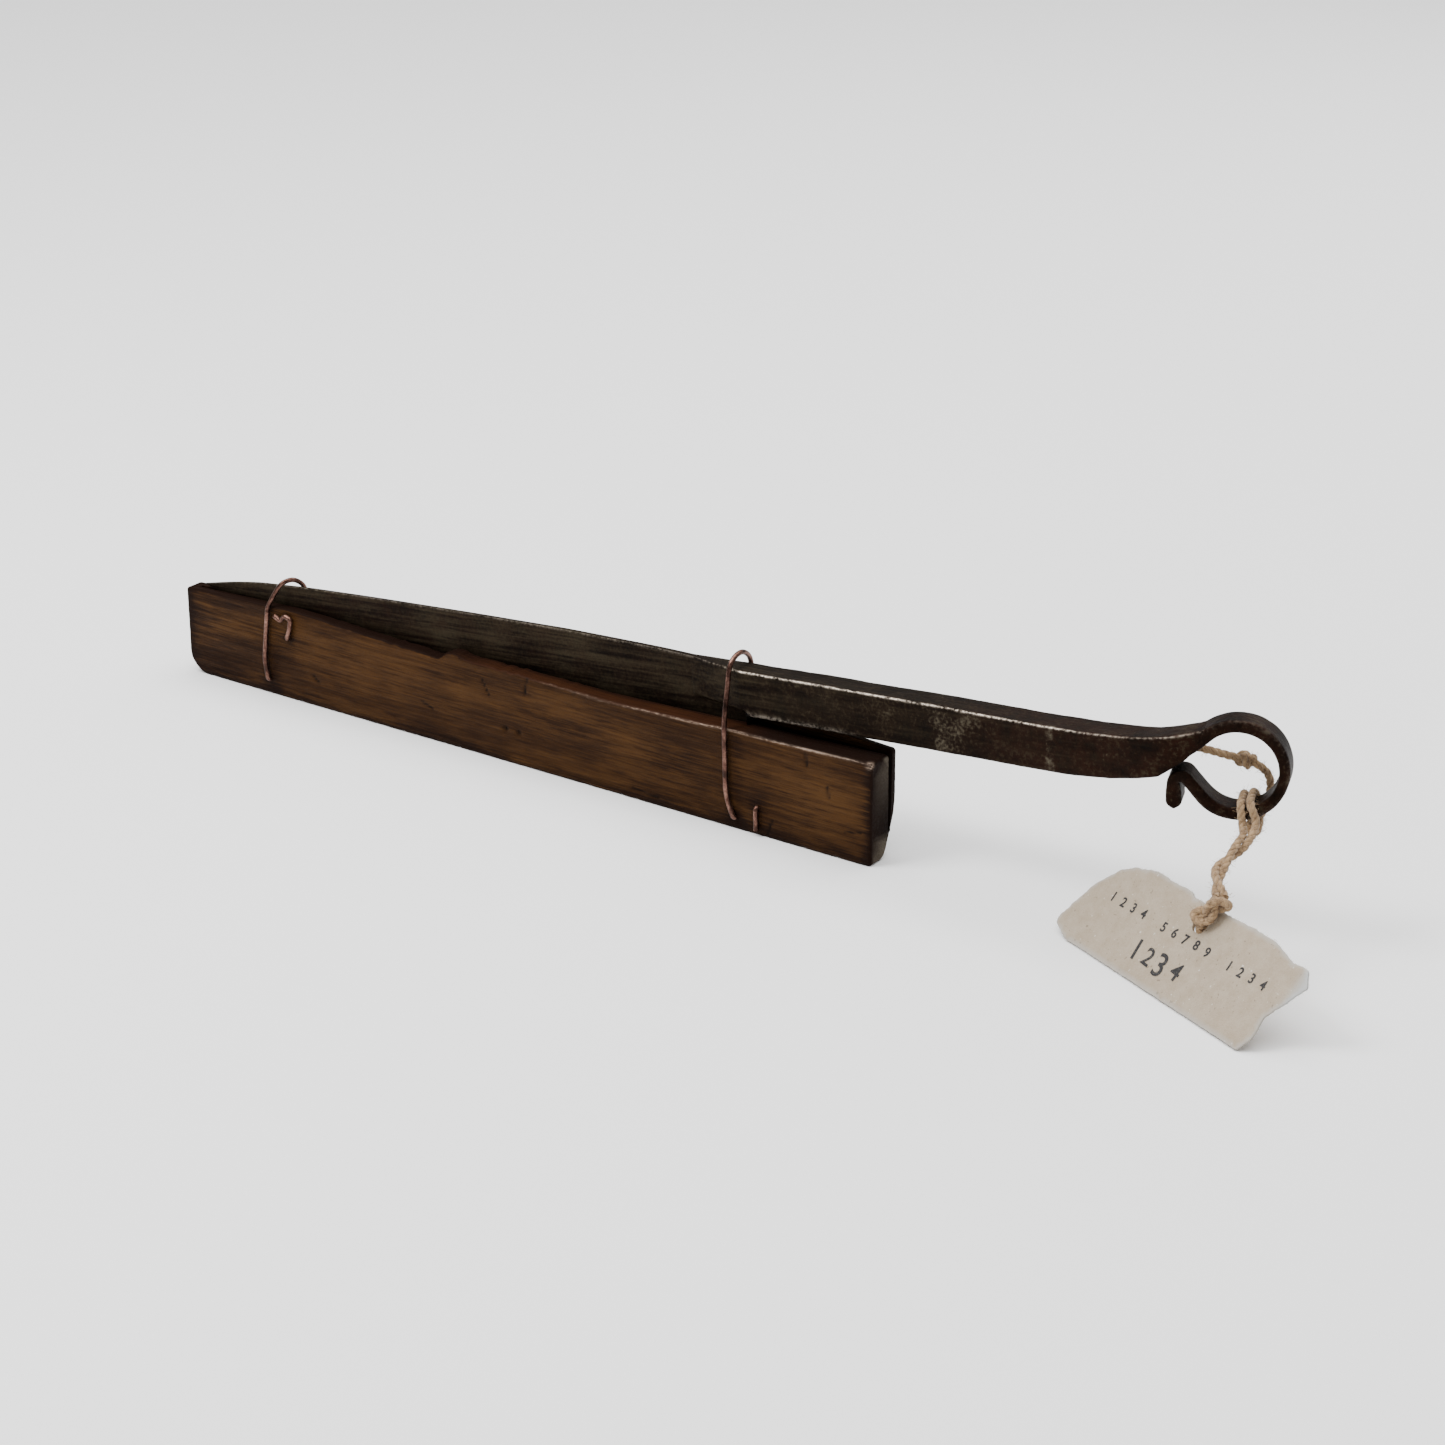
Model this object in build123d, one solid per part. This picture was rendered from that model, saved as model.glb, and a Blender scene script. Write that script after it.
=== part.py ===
"""Hand-forged knife with an eye at its end, in a sawn wooden sheath.

The sheath stands on its long bottom edge. The knife lies in a kerf that is sawn along the
sheath's top and out through its mouth. Two copper wires arch over the knife's back, and a
doubled jute twine on the eye carries a card tag. Millimetres, +Z up, +X from the sheath's
closed end to its mouth. The origin is on the sheath's bottom, midway along, under the kerf.
"""

from build123d import *
import math
import os

# ---- sheath -------------------------------------------------------------------------------
SHEATH_LENGTH = 241.0
MOUTH_HEIGHT = 28.8         # height of the lips at the mouth
CROWN_HEIGHT = 29.4         # height of the lips where they are tallest
CROWN_FROM_MOUTH = 137.0    # how far the tallest place is from the mouth
CLOSED_END_HEIGHT = 26.0
BACK_LIP = 3.2              # kerf's middle plane to the back face, all along
FRONT_LIP_MOUTH = 9.1       # kerf's middle plane to the front face, at the mouth
FRONT_LIP_CLOSED_END = 3.2  # the same at the closed end
CLOSED_END_CORNER = 7.0     # radius of the bottom corner at the closed end
SHEATH_EDGE = 0.9           # worn radius along the sheath's edges
END_WALL = 3.4              # wood left uncut at the closed end
WORN_CORNER_UP = 13.0       # worn-off back bottom corner at the mouth: up the end face,
WORN_CORNER_ACROSS = 5.0    # across the bottom,
WORN_CORNER_ALONG = 10.0    # and along the back face
CHIP_LENGTH = 45.0          # the split in the front lip: run from its foot to the step
CHIP_FOOT_HEIGHT = 25.0     # height of the lip at the foot of the step
CHIP_STEP = 8.0             # length of the step back up to the lip
STEP_WEAR = 1.5             # how much lower the front lip is worn at the top of that step,
CROWN_WEAR = 2.7            # past the step,
LIP_WEAR = 3.1              # and where it is worn most
LIP_WEAR_FROM_MOUTH = 88.0  # how far that is from the mouth; the wear runs out at the mouth

# ---- knife, in its own frame: +x from blade to eye, origin at the shoulder's top -----------
SHOULDER_FROM_MOUTH = 45.0  # how far inside the mouth the shoulder lies at rest
SHOULDER_HEIGHT = 42.9      # height of the back of the knife at the shoulder
KNIFE_TILT = 4.5            # degrees that the eye's end rises from level
BLADE_LENGTH = 191.5
BACK_CROWN = 3.1            # how far the blade's back arches above the grip's top
TIP_DROP = 0.5              # tip below the line of the grip's top
HEEL_DEPTH = 33.3
HEEL_OVERLAP = 1.5          # how far the blade runs on under the grip
EDGE_RISE = 8.15            # degrees between the cutting edge and the grip
STRAIGHT_EDGE = 150.0       # length of the straight cutting edge
EDGE_HALF = 0.2             # half thickness at the cutting edge
BLADE_WEDGE = 0.0235        # growth of the half thickness with height above the edge
GRIP_LENGTH = 124.0
GRIP_DEPTH = 12.3
GRIP_HALF_SHOULDER = 3.9    # half thickness of the grip at the shoulder,
GRIP_HALF_THICK = 5.0       # where it is thickest,
GRIP_HALF_EYE = 4.7         # and where the eye begins
GRIP_THICKEST_AT = 96.0
SHOULDER_RAMP = 17.0        # length over which the forging thins from grip to blade
GRIP_SAG = 1.3              # how far its top dips before the eye,
GRIP_SWEEP = 1.9            # and how far it sweeps up into the eye

# ---- eye: a strip bent round, in the plane of the grip turned aside -------------------------
EYE_TURN = 20.0             # degrees that the eye's plane is turned from the blade's
EYE_AHEAD = 17.1            # eye's middle beyond the grip's end
EYE_DROP = 7.9              # eye's middle below the grip's top
EYE_RADIUS = 11.3           # to the middle of the strip
STRIP_THICK = 3.2
STRIP_WIDTH = 8.0
STRIP_CORNER = 0.8
EYE_ENTRY = 126.0           # where the strip meets the circle, degrees from +x
EYE_LEAVE = 218.0           # where it leaves for the scroll
ENTRY_RUN = 12.0
SCROLL_RUN = 5.4
SCROLL_RADIUS = 1.9
SCROLL_TAIL = 4.6

# ---- clearances ---------------------------------------------------------------------------
KERF_SIDE_GAP = 0.25        # blade to kerf wall, each side
KERF_FLOOR_GAP = 0.3        # cutting edge to the kerf's floor
WIRE_HOLE_GAP = 0.05

# ---- binding wires ------------------------------------------------------------------------
WIRE_RADIUS = 0.7
HEEL_WIRE_FROM_MOUTH = 44.6     # the leg of the wire nearest the grip
TIP_WIRE_FROM_MOUTH = 209.1     # the leg of the wire nearest the blade's tip
WIRE_OFF_WOOD = 0.75            # wire's middle line off the wood's face

# ---- tag ----------------------------------------------------------------------------------
TAG_THICK = 1.0
TAG_LEAN = 40.0                 # degrees back from upright
TAG_HEADING = -25.65            # direction of its lower edge on the floor, degrees from +X
TAG_CORNER = (183.4, -18.9)     # where the left end of the lower edge stands
TAG_HOLE_RADIUS = 2.3
TAG_HOLE = (35.9, 20.4)         # along the lower edge, and up the tag

# ---- twine --------------------------------------------------------------------------------
TWINE_DIAMETER = 2.1
TWINE_OFF_IRON = 0.2            # twine's surface off the eye's strip
HITCH_DEGREES = (-85.0, -69.0)  # where the two strands go round the strip
TWIST_STEP = 60.0               # degrees that the doubled twine turns from point to point
TWIST_RADIUS = 1.32             # each strand's middle line from the lead's
HITCH_RADIUS = 2.3
HITCH_LENGTH = 9.6
TAIL_KNOT_RADIUS = 1.9
TAIL_KNOT_LENGTH = 5.6
TAG_KNOT_RADIUS = 2.5
TAG_KNOT_LENGTH = 10.0
TAG_NECK_GAP = 0.15             # the twine fills the tag's hole but for this
TAG_BACK_RADIUS = 3.0
TAG_BACK_THICK = 1.6

# Middle line of the doubled twine between the hitch on the eye and the knot on the tag.
LEAD = [
    (222.6, -2.4, 32.2),
    (222.2, -5.6, 30.6),
    (221.2, -8.9, 28.9),
    (220.6, -12.3, 27.3),
    (221.4, -15.7, 25.9),
    (223.3, -18.9, 24.9),
    (225.8, -21.7, 24.2),
]

# Middle line of the twine's loose tail: along and behind the eye's strip, and up from its start.
TAIL = [
    (20.6, -0.4, -23.2),
    (22.6, 3.2, -21.6),
    (23.6, 3.9, -17.6),
    (23.7, 3.4, -13.2),
    (21.6, 2.6, -10.2),
    (18.0, 2.2, -8.6),
    (13.0, 2.0, -7.3),
    (8.2, 1.7, -5.9),
    (5.0, 1.4, -5.0),
]
TAIL_KNOT_AT = 5                # which of those points the tail's knot is tied at

MOUTH_X = 120.0
CLOSED_X = MOUTH_X - SHEATH_LENGTH
FAR = 400.0                     # longer than anything here, for cutting bodies

KNIFE = Location((MOUTH_X - SHOULDER_FROM_MOUTH, 0, SHOULDER_HEIGHT)) * Rotation(0, -KNIFE_TILT, 0)
KNIFE_TO_EDGE = Location((HEEL_OVERLAP, 0, -HEEL_DEPTH)) * Rotation(0, EDGE_RISE, 0)
EDGE = KNIFE * KNIFE_TO_EDGE
EYE = KNIFE * Location((GRIP_LENGTH, 0, 0)) * Rotation(0, 0, EYE_TURN)


def front_face_y(x):
    """Return y of the sheath's front face at x, which leans in towards the closed end."""
    along = (MOUTH_X - x) / SHEATH_LENGTH
    return -(FRONT_LIP_MOUTH + (FRONT_LIP_CLOSED_END - FRONT_LIP_MOUTH) * along)


def upright_face(points):
    """Return a face in the XZ plane from (x, z) points."""
    corners = [Vector(x, 0, z) for x, z in points]
    return make_face(Polyline(*corners, close=True))


def slab(face, half):
    """Return a face in the XZ plane made solid, half as thick each way."""
    return extrude(face, amount=half, dir=(0, 1, 0), both=True)


# ---- sheath -------------------------------------------------------------------------------
def sheath_block():
    """The block before anything is cut in it, with worn edges."""
    side = upright_face([
        (CLOSED_X, 0),
        (MOUTH_X, 0),
        (MOUTH_X, MOUTH_HEIGHT),
        (MOUTH_X - CROWN_FROM_MOUTH, CROWN_HEIGHT),
        (CLOSED_X, CLOSED_END_HEIGHT),
    ])
    plan = make_face(Polyline(
        (CLOSED_X, -FRONT_LIP_CLOSED_END),
        (MOUTH_X, -FRONT_LIP_MOUTH),
        (MOUTH_X, BACK_LIP),
        (CLOSED_X, BACK_LIP),
        close=True,
    ))
    block = slab(side, FAR / 4) & extrude(plan, amount=FAR / 4)
    corner = block.edges().filter_by(Axis.Y).sort_by(lambda e: e.center().X + e.center().Z)[0]
    block = fillet(corner, CLOSED_END_CORNER)
    return fillet(block.edges(), SHEATH_EDGE)


def worn_corner():
    """The piece that is worn off the back bottom corner at the mouth."""
    a = Vector(MOUTH_X, BACK_LIP - WORN_CORNER_ACROSS, 0)
    b = Vector(MOUTH_X, BACK_LIP, WORN_CORNER_UP)
    c = Vector(MOUTH_X - WORN_CORNER_ALONG, BACK_LIP, 0)
    out = (b - a).cross(c - a).normalized()
    if out.Y < 0:
        out = -out
    cutting = Plane(origin=a, z_dir=out)
    return extrude(cutting * Rectangle(FAR / 4, FAR / 4), amount=FAR / 10)


def kerf():
    """The saw cut that the blade lies in: a wedge along the cutting edge, open at the mouth."""
    low = -KERF_FLOOR_GAP
    high = HEEL_DEPTH + BACK_CROWN + GRIP_DEPTH
    half_low = EDGE_HALF + KERF_SIDE_GAP
    half_high = half_low + BLADE_WEDGE * (high - low)
    section = Plane.YZ * make_face(Polyline(
        (-half_low, low), (half_low, low), (half_high, high), (-half_high, high), close=True,
    ))
    cut = EDGE * extrude(section, amount=FAR, both=True)
    room = Location((CLOSED_X + END_WALL + FAR / 2, 0, 0)) * Box(FAR, FAR, FAR)
    return cut & room


def lost_lip():
    """The front lip's lost top: a split sliver, the step where it ran out, and wear from there on."""
    step_x = MOUTH_X - CROWN_FROM_MOUTH
    foot_x = step_x - CHIP_STEP
    start_x = foot_x - CHIP_LENGTH
    sliver = upright_face([
        (start_x, CROWN_HEIGHT + 1),
        (start_x, CLOSED_END_HEIGHT + 0.9),
        (foot_x, CHIP_FOOT_HEIGHT),
        (foot_x + CHIP_STEP / 3, CHIP_FOOT_HEIGHT + 0.4),
        (foot_x + CHIP_STEP / 2, CROWN_HEIGHT - STEP_WEAR),
        (step_x + CHIP_STEP / 2, CROWN_HEIGHT - CROWN_WEAR),
        (MOUTH_X - LIP_WEAR_FROM_MOUTH, CROWN_HEIGHT - LIP_WEAR),
        (MOUTH_X, MOUTH_HEIGHT),
        (MOUTH_X, CROWN_HEIGHT + 1),
    ])
    return extrude(sliver, amount=FAR / 10, dir=(0, -1, 0))


def build_sheath(wires):
    """The finished sheath, drilled for the wires."""
    block = sheath_block() - worn_corner() - kerf() - lost_lip()
    for path in wires:
        block -= tube(path, WIRE_RADIUS + WIRE_HOLE_GAP)
    return block


# ---- knife --------------------------------------------------------------------------------
def blade():
    """The blade: its outline cut from a wedge that thins to the cutting edge."""
    rise = math.radians(EDGE_RISE)
    heel = (HEEL_OVERLAP, -HEEL_DEPTH)
    belly = (heel[0] - STRAIGHT_EDGE * math.cos(rise), heel[1] + STRAIGHT_EDGE * math.sin(rise))
    tip = (-BLADE_LENGTH, -TIP_DROP)
    along_edge = Vector(-math.cos(rise), 0, math.sin(rise))
    back = Spline(
        Vector(0, 0, 0),
        Vector(-0.31 * BLADE_LENGTH, 0, 0.87 * BACK_CROWN),
        Vector(-0.68 * BLADE_LENGTH, 0, BACK_CROWN),
        Vector(-0.89 * BLADE_LENGTH, 0, 0.74 * BACK_CROWN),
        Vector(tip[0], 0, tip[1]),
    )
    outline = back + TangentArc(Vector(belly[0], 0, belly[1]), Vector(tip[0], 0, tip[1]),
                                tangent=along_edge)
    outline += Polyline(
        Vector(belly[0], 0, belly[1]),
        Vector(heel[0], 0, heel[1]),
        Vector(heel[0], 0, -GRIP_DEPTH / 2),
        Vector(heel[0], 0, 0),
        Vector(0, 0, 0),
    )
    shape = slab(make_face(outline.edges()), FAR / 20)
    high = HEEL_DEPTH + BACK_CROWN + GRIP_DEPTH
    half_high = EDGE_HALF + BLADE_WEDGE * high
    section = Plane.YZ * make_face(Polyline(
        (-EDGE_HALF, 0), (EDGE_HALF, 0), (half_high, high), (-half_high, high), close=True,
    ))
    wedge = extrude(section, amount=FAR, both=True)
    return shape & (KNIFE_TO_EDGE * wedge)


def grip():
    """The bar: it swells towards the eye and thins to the blade over a short ramp."""
    end = GRIP_LENGTH
    side = make_face([
        Spline(Vector(0, 0, 0), Vector(0.5 * end, 0, -0.6), Vector(end - 20.0, 0, -GRIP_SAG),
               Vector(end + 7.5, 0, GRIP_SWEEP)),
        Polyline(Vector(end + 7.5, 0, GRIP_SWEEP), Vector(end + 4.6, 0, -5.6),
                 Vector(end + 1.0, 0, -8.4), Vector(end - 1.4, 0, -10.2)),
        Spline(Vector(end - 1.4, 0, -10.2), Vector(end - 24.0, 0, -GRIP_DEPTH - 1.0),
               Vector(0.5 * end, 0, -GRIP_DEPTH - 0.5), Vector(3.0, 0, -GRIP_DEPTH)),
        Polyline(Vector(3.0, 0, -GRIP_DEPTH), Vector(0.6, 0, -GRIP_DEPTH + 1.2),
                 Vector(-SHOULDER_RAMP, 0, -GRIP_DEPTH + 2.6), Vector(-SHOULDER_RAMP, 0, 0.9),
                 Vector(0, 0, 0)),
    ])
    thin = EDGE_HALF + BLADE_WEDGE * HEEL_DEPTH
    ahead = [(-SHOULDER_RAMP, thin), (0, GRIP_HALF_SHOULDER), (GRIP_THICKEST_AT, GRIP_HALF_THICK),
             (end, GRIP_HALF_EYE)]
    turned = [(end + 8.0, STRIP_WIDTH / 2)]
    plan = [(x, y) for x, y in ahead]
    plan += [swing(x - end, y) for x, y in turned]
    plan += [swing(x - end, -y) for x, y in reversed(turned)]
    plan += [(x, -y) for x, y in reversed(ahead)]
    footprint = make_face(Polyline(*plan, close=True))
    return slab(side, FAR / 20) & extrude(footprint, amount=FAR / 8, both=True)


def swing(ahead, aside):
    """Return (x, y) of a place given along and across the eye's turned plane."""
    turn = math.radians(EYE_TURN)
    x = GRIP_LENGTH + ahead * math.cos(turn) - aside * math.sin(turn)
    y = ahead * math.sin(turn) + aside * math.cos(turn)
    return x, y


def strip_line():
    """The middle line of the eye's strip, in the eye's own plane."""
    middle = Vector(EYE_AHEAD, 0, -EYE_DROP)

    def on_circle(degrees):
        a = math.radians(degrees)
        return middle + Vector(math.cos(a), 0, math.sin(a)) * EYE_RADIUS

    def heading(degrees):
        a = math.radians(degrees)
        return Vector(math.sin(a), 0, -math.cos(a))

    entry = on_circle(EYE_ENTRY)
    leave = on_circle(EYE_LEAVE)
    scroll = leave + heading(EYE_LEAVE) * SCROLL_RUN
    a = math.radians(EYE_LEAVE - 180.0)
    hub = scroll - Vector(math.cos(a), 0, math.sin(a)) * SCROLL_RADIUS
    top = math.radians(EYE_LEAVE / 2)
    over = hub + Vector(math.cos(top), 0, math.sin(top)) * SCROLL_RADIUS
    down = hub - Vector(SCROLL_RADIUS, 0, 0)
    return [
        Line(entry - heading(EYE_ENTRY) * ENTRY_RUN, entry),
        ThreePointArc(entry, on_circle(-8.0), leave),
        Line(leave, scroll),
        ThreePointArc(scroll, over, down),
        Line(down, down - Vector(0, 0, SCROLL_TAIL)),
    ]


def eye():
    """The eye and the scroll that ends it."""
    path = Wire(strip_line())
    section = Plane(origin=path @ 0, x_dir=(0, 1, 0), z_dir=path % 0)
    strip = sweep(section * RectangleRounded(STRIP_WIDTH, STRIP_THICK, STRIP_CORNER), path=path)
    end = path @ 1
    bead = Location(end) * Rotation(90, 0, 0) * Cylinder(STRIP_THICK / 2 + 0.25, STRIP_WIDTH - 1.0)
    return strip + bead


def build_knife():
    """The whole forging: blade, grip and eye are one piece of iron."""
    turned = Location((GRIP_LENGTH, 0, 0)) * Rotation(0, 0, EYE_TURN) * eye()
    return KNIFE * (blade() + grip() + turned)


# ---- wires --------------------------------------------------------------------------------
def tube(path, radius):
    """A round tube along a path of runs and tangent arcs."""
    return sweep(Plane(origin=path @ 0, z_dir=path % 0) * Circle(radius), path=path)


def heel_wire_path():
    """Up the front, over the knife by the grip, down the back, through and turned down."""
    x = MOUTH_X - HEEL_WIRE_FROM_MOUTH
    front = front_face_y(x) - WIRE_OFF_WOOD
    back = BACK_LIP + WIRE_OFF_WOOD
    clear = GRIP_HALF_SHOULDER + WIRE_RADIUS + 0.5
    clinch = x + 8.9
    clinch_front = front_face_y(clinch) - WIRE_OFF_WOOD
    return FilletPolyline(
        (x + 1.9, front + 3.4, 3.2),
        (x + 1.9, front, 3.2),
        (x - 0.9, front, 13.0),
        (x - 1.3, front, MOUTH_HEIGHT + 1.2),
        (x - 2.1, -clear - 0.9, SHOULDER_HEIGHT - 4.5),
        (x - 2.3, -clear + 0.4, SHOULDER_HEIGHT + 2.6),
        (x - 1.8, 0.2, SHOULDER_HEIGHT + 4.3),
        (x - 2.0, clear - 0.4, SHOULDER_HEIGHT + 1.2),
        (x - 1.6, clear, MOUTH_HEIGHT + 6.0),
        (x + 3.0, back, MOUTH_HEIGHT - 4.0),
        (clinch, back, 8.0),
        (clinch, clinch_front, 8.0),
        (clinch + 0.2, clinch_front, 1.7),
        radius=[1.0, 16, 12, 8, 2.6, 2.3, 2.3, 5, 12, 1.4, 1.0],
    )


def tip_wire_path():
    """The same near the blade's tip, its end turned into a small hook on the front."""
    x = MOUTH_X - TIP_WIRE_FROM_MOUTH
    front = front_face_y(x) - WIRE_OFF_WOOD
    back = BACK_LIP + WIRE_OFF_WOOD
    hook_x = x + 8.1
    hook = front_face_y(hook_x) - WIRE_OFF_WOOD
    return FilletPolyline(
        (x + 0.2, front + 2.4, 4.5),
        (x + 0.2, front, 4.5),
        (x - 0.8, front, 11.0),
        (x + 1.2, front, CLOSED_END_HEIGHT + 1.2),
        (x + 4.9, -2.5, 34.6),
        (x + 7.0, 0.4, 35.4),
        (x + 8.6, 3.3, 33.2),
        (x + 9.0, back, CLOSED_END_HEIGHT + 1.0),
        (hook_x, back, 18.6),
        (hook_x, hook, 18.6),
        (hook_x + 1.3, hook, 21.8),
        (hook_x + 1.8, hook, 25.0),
        (hook_x - 0.4, hook, 25.7),
        (hook_x - 2.0, hook, 23.8),
        (hook_x - 4.2, hook, 25.0),
        radius=[0.9, 12, 8, 2.0, 1.6, 2.0, 5, 1.3, 0.9, 3.0, 1.0, 0.9, 0.9],
    )


# ---- tag and twine ------------------------------------------------------------------------
def tag_plane():
    """The plane of the tag's front face: origin at its lower left corner."""
    turn = math.radians(TAG_HEADING)
    lean = math.radians(TAG_LEAN)
    along = Vector(math.cos(turn), math.sin(turn), 0)
    back = Vector(-math.sin(turn), math.cos(turn), 0)
    up = Vector(0, 0, math.cos(lean)) + back * math.sin(lean)
    lift = TAG_THICK * math.sin(lean)
    return Plane(origin=(TAG_CORNER[0], TAG_CORNER[1], lift), x_dir=along, z_dir=along.cross(up))


def build_tag():
    """The card, with clipped left corners and a torn right end."""
    outline = Polyline(
        (-1.2, 0), (67.4, 0), (69.3, 3.0), (69.6, 6.4), (68.9, 9.7), (73.6, 17.7), (75.5, 20.8),
        (72.1, 24.7), (67.0, 24.3), (62.4, 25.3), (57.6, 26.5), (50.1, 26.4), (29.4, 25.3),
        (27.0, 26.2), (12.0, 26.0), (5.4, 23.8), (1.9, 21.6), (-2.5, 16.6), (-5.3, 9.7),
        (-7.5, 3.7), (-7.1, 2.1), close=True,
    )
    card = make_face(outline) - Location((TAG_HOLE[0], TAG_HOLE[1], 0)) * Circle(TAG_HOLE_RADIUS)
    return extrude(tag_plane() * card, amount=-TAG_THICK)


def eye_point(along, across, up):
    """Return a place given in the eye's own frame, which starts at the grip's end."""
    return (EYE * Location((along, across, up))).position


def tail_points():
    """The tail's points, which keep their distance from the strip's back face."""
    return [eye_point(along, STRIP_WIDTH / 2 + behind, up) for along, behind, up in TAIL]


def strip_point(degrees, across, radius):
    """Return a place given round the eye's middle."""
    a = math.radians(degrees)
    return eye_point(EYE_AHEAD + radius * math.cos(a), across, -EYE_DROP + radius * math.sin(a))


def twisted(phase):
    """Return one strand's points along the lead, turning round its middle line."""
    middle = [Vector(*point) for point in LEAD]
    points = []
    for i, here in enumerate(middle):
        ahead = (middle[min(i + 1, len(middle) - 1)] - middle[max(i - 1, 0)]).normalized()
        aside = ahead.cross(Vector(0, 0, 1)).normalized()
        over = aside.cross(ahead)
        a = math.radians(phase + TWIST_STEP * i)
        points.append(here + (aside * math.cos(a) + over * math.sin(a)) * TWIST_RADIUS)
    return points


def strand_points(degrees, phase):
    """One strand: up the back of the strip, through the eye, down the front, to the tag."""
    off = TWINE_DIAMETER / 2 + TWINE_OFF_IRON
    inside = EYE_RADIUS - STRIP_THICK / 2 - off
    outside = EYE_RADIUS + STRIP_THICK / 2 + off
    side = STRIP_WIDTH / 2 + off
    hitch = [
        strip_point(degrees, side, outside - 0.7),
        strip_point(degrees, side, inside),
        strip_point(degrees, 0, inside - 0.4),
        strip_point(degrees, -side, inside),
        strip_point(degrees, -side, outside - 0.6),
    ]
    return hitch + twisted(phase)


def cord_path(name, points):
    """A path of runs and arcs through the points, each arc as large as its runs allow."""
    radii = []
    for before, here, after in zip(points, points[1:], points[2:]):
        half = math.radians((here - before).get_angle(after - here)) / 2
        room = 0.45 * min((here - before).length, (after - here).length) / math.tan(half)
        radii.append(room)
    path = FilletPolyline(*points, radius=radii)
    print(name, "length", round(path.length, 1), "radii", [round(r, 1) for r in radii])
    return path


def lump(middle, heading, length, radius):
    """A knot: a round-ended cylinder."""
    place = Plane(origin=middle, z_dir=heading)
    straight = length / 2 - radius
    solid = place * Cylinder(radius, 2 * straight)
    for end in (-straight, straight):
        solid += place * Location((0, 0, end)) * Sphere(radius)
    return solid


def build_tag_knot(plane):
    """The knot on the tag's front, its neck through the hole, and its turn at the back."""
    hole = plane * Location((TAG_HOLE[0], TAG_HOLE[1], 0))
    neck_radius = TAG_HOLE_RADIUS - TAG_NECK_GAP
    neck_back = TAG_THICK + TAG_BACK_THICK / 2
    neck = hole * Location((0, 0, (TAG_KNOT_RADIUS - neck_back) / 2)) * Cylinder(
        neck_radius, TAG_KNOT_RADIUS + neck_back)
    behind = hole * Location((0, 0, -TAG_THICK - TAG_BACK_THICK / 2 - 0.05)) * Cylinder(
        TAG_BACK_RADIUS, TAG_BACK_THICK)
    middle = (hole * Location((2.6, 3.6, TAG_KNOT_RADIUS + 0.1))).position
    foot = (hole * Location((0, 0, TAG_KNOT_RADIUS - 0.2))).position
    return lump(middle, middle - foot, TAG_KNOT_LENGTH, TAG_KNOT_RADIUS) + neck + behind


def main():
    """Build every piece and write one STEP file for each."""
    os.makedirs("parts", exist_ok=True)
    heel_path = heel_wire_path()
    tip_path = tip_wire_path()
    first, second = HITCH_DEGREES
    strand_a = cord_path("strand a", strand_points(first, 0))
    strand_b = cord_path("strand b", strand_points(second, 180))
    loose = tail_points()
    tail = cord_path("tail", loose)
    between = (first + second) / 2
    under = EYE_RADIUS + STRIP_THICK / 2 + HITCH_RADIUS + 0.1
    hitch = strip_point(between, 0.6, under)
    across = strip_point(between, 1.6, under) - hitch
    tail_knot = loose[TAIL_KNOT_AT]
    tail_heading = loose[TAIL_KNOT_AT + 1] - loose[TAIL_KNOT_AT - 1]
    nodes = {
        "sheath": build_sheath([heel_path, tip_path]),
        "knife": build_knife(),
        "heel_binding_wire": tube(heel_path, WIRE_RADIUS),
        "tip_binding_wire": tube(tip_path, WIRE_RADIUS),
        "twine_strand_a": tube(strand_a, TWINE_DIAMETER / 2),
        "twine_strand_b": tube(strand_b, TWINE_DIAMETER / 2),
        "twine_tail": tube(tail, TWINE_DIAMETER / 2),
        "twine_hitch": lump(hitch, across, HITCH_LENGTH, HITCH_RADIUS),
        "twine_tail_knot": lump(tail_knot, tail_heading, TAIL_KNOT_LENGTH, TAIL_KNOT_RADIUS),
        "tag": build_tag(),
        "tag_knot": build_tag_knot(tag_plane()),
    }
    for name, shape in nodes.items():
        export_step(shape, f"parts/{name}.step")
        box = shape.bounding_box()
        print(f"{name}: {len(shape.solids())} solid, {shape.volume:.0f} mm3, {box.min} {box.max}")


if __name__ == "__main__":
    main()
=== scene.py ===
"""A hand-forged knife in its wire-bound wooden sheath, with a card tag on jute twine.

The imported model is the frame: every piece built here lies where its CAD node lies, and rides on
that node's body. Shapes are worked in millimetres and written in metres. Each sub-assembly is a
class that builds and dresses its own pieces, and each finish is a small frozen class.
"""

import logging
import math
from collections.abc import Iterable, Sequence
from dataclasses import dataclass, field
from enum import Enum

import bmesh
import bpy
import numpy as np
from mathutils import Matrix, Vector
from mathutils.geometry import delaunay_2d_cdt


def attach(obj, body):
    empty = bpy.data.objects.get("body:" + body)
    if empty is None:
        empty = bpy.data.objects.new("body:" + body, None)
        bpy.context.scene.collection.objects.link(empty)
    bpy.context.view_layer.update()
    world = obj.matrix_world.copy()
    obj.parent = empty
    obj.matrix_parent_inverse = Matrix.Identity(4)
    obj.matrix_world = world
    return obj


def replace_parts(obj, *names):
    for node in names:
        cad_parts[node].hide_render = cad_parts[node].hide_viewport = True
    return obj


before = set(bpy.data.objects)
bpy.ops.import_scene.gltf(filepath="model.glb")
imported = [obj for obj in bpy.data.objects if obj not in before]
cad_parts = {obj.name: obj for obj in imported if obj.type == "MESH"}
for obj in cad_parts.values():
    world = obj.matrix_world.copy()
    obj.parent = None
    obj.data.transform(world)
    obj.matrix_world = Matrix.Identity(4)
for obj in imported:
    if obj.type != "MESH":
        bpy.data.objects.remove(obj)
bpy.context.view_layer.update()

MM = 0.001
FIGURE_HEIGHT = 0.71  # height of a figure in the font, at size 1
LOG = logging.getLogger("knife")

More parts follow.
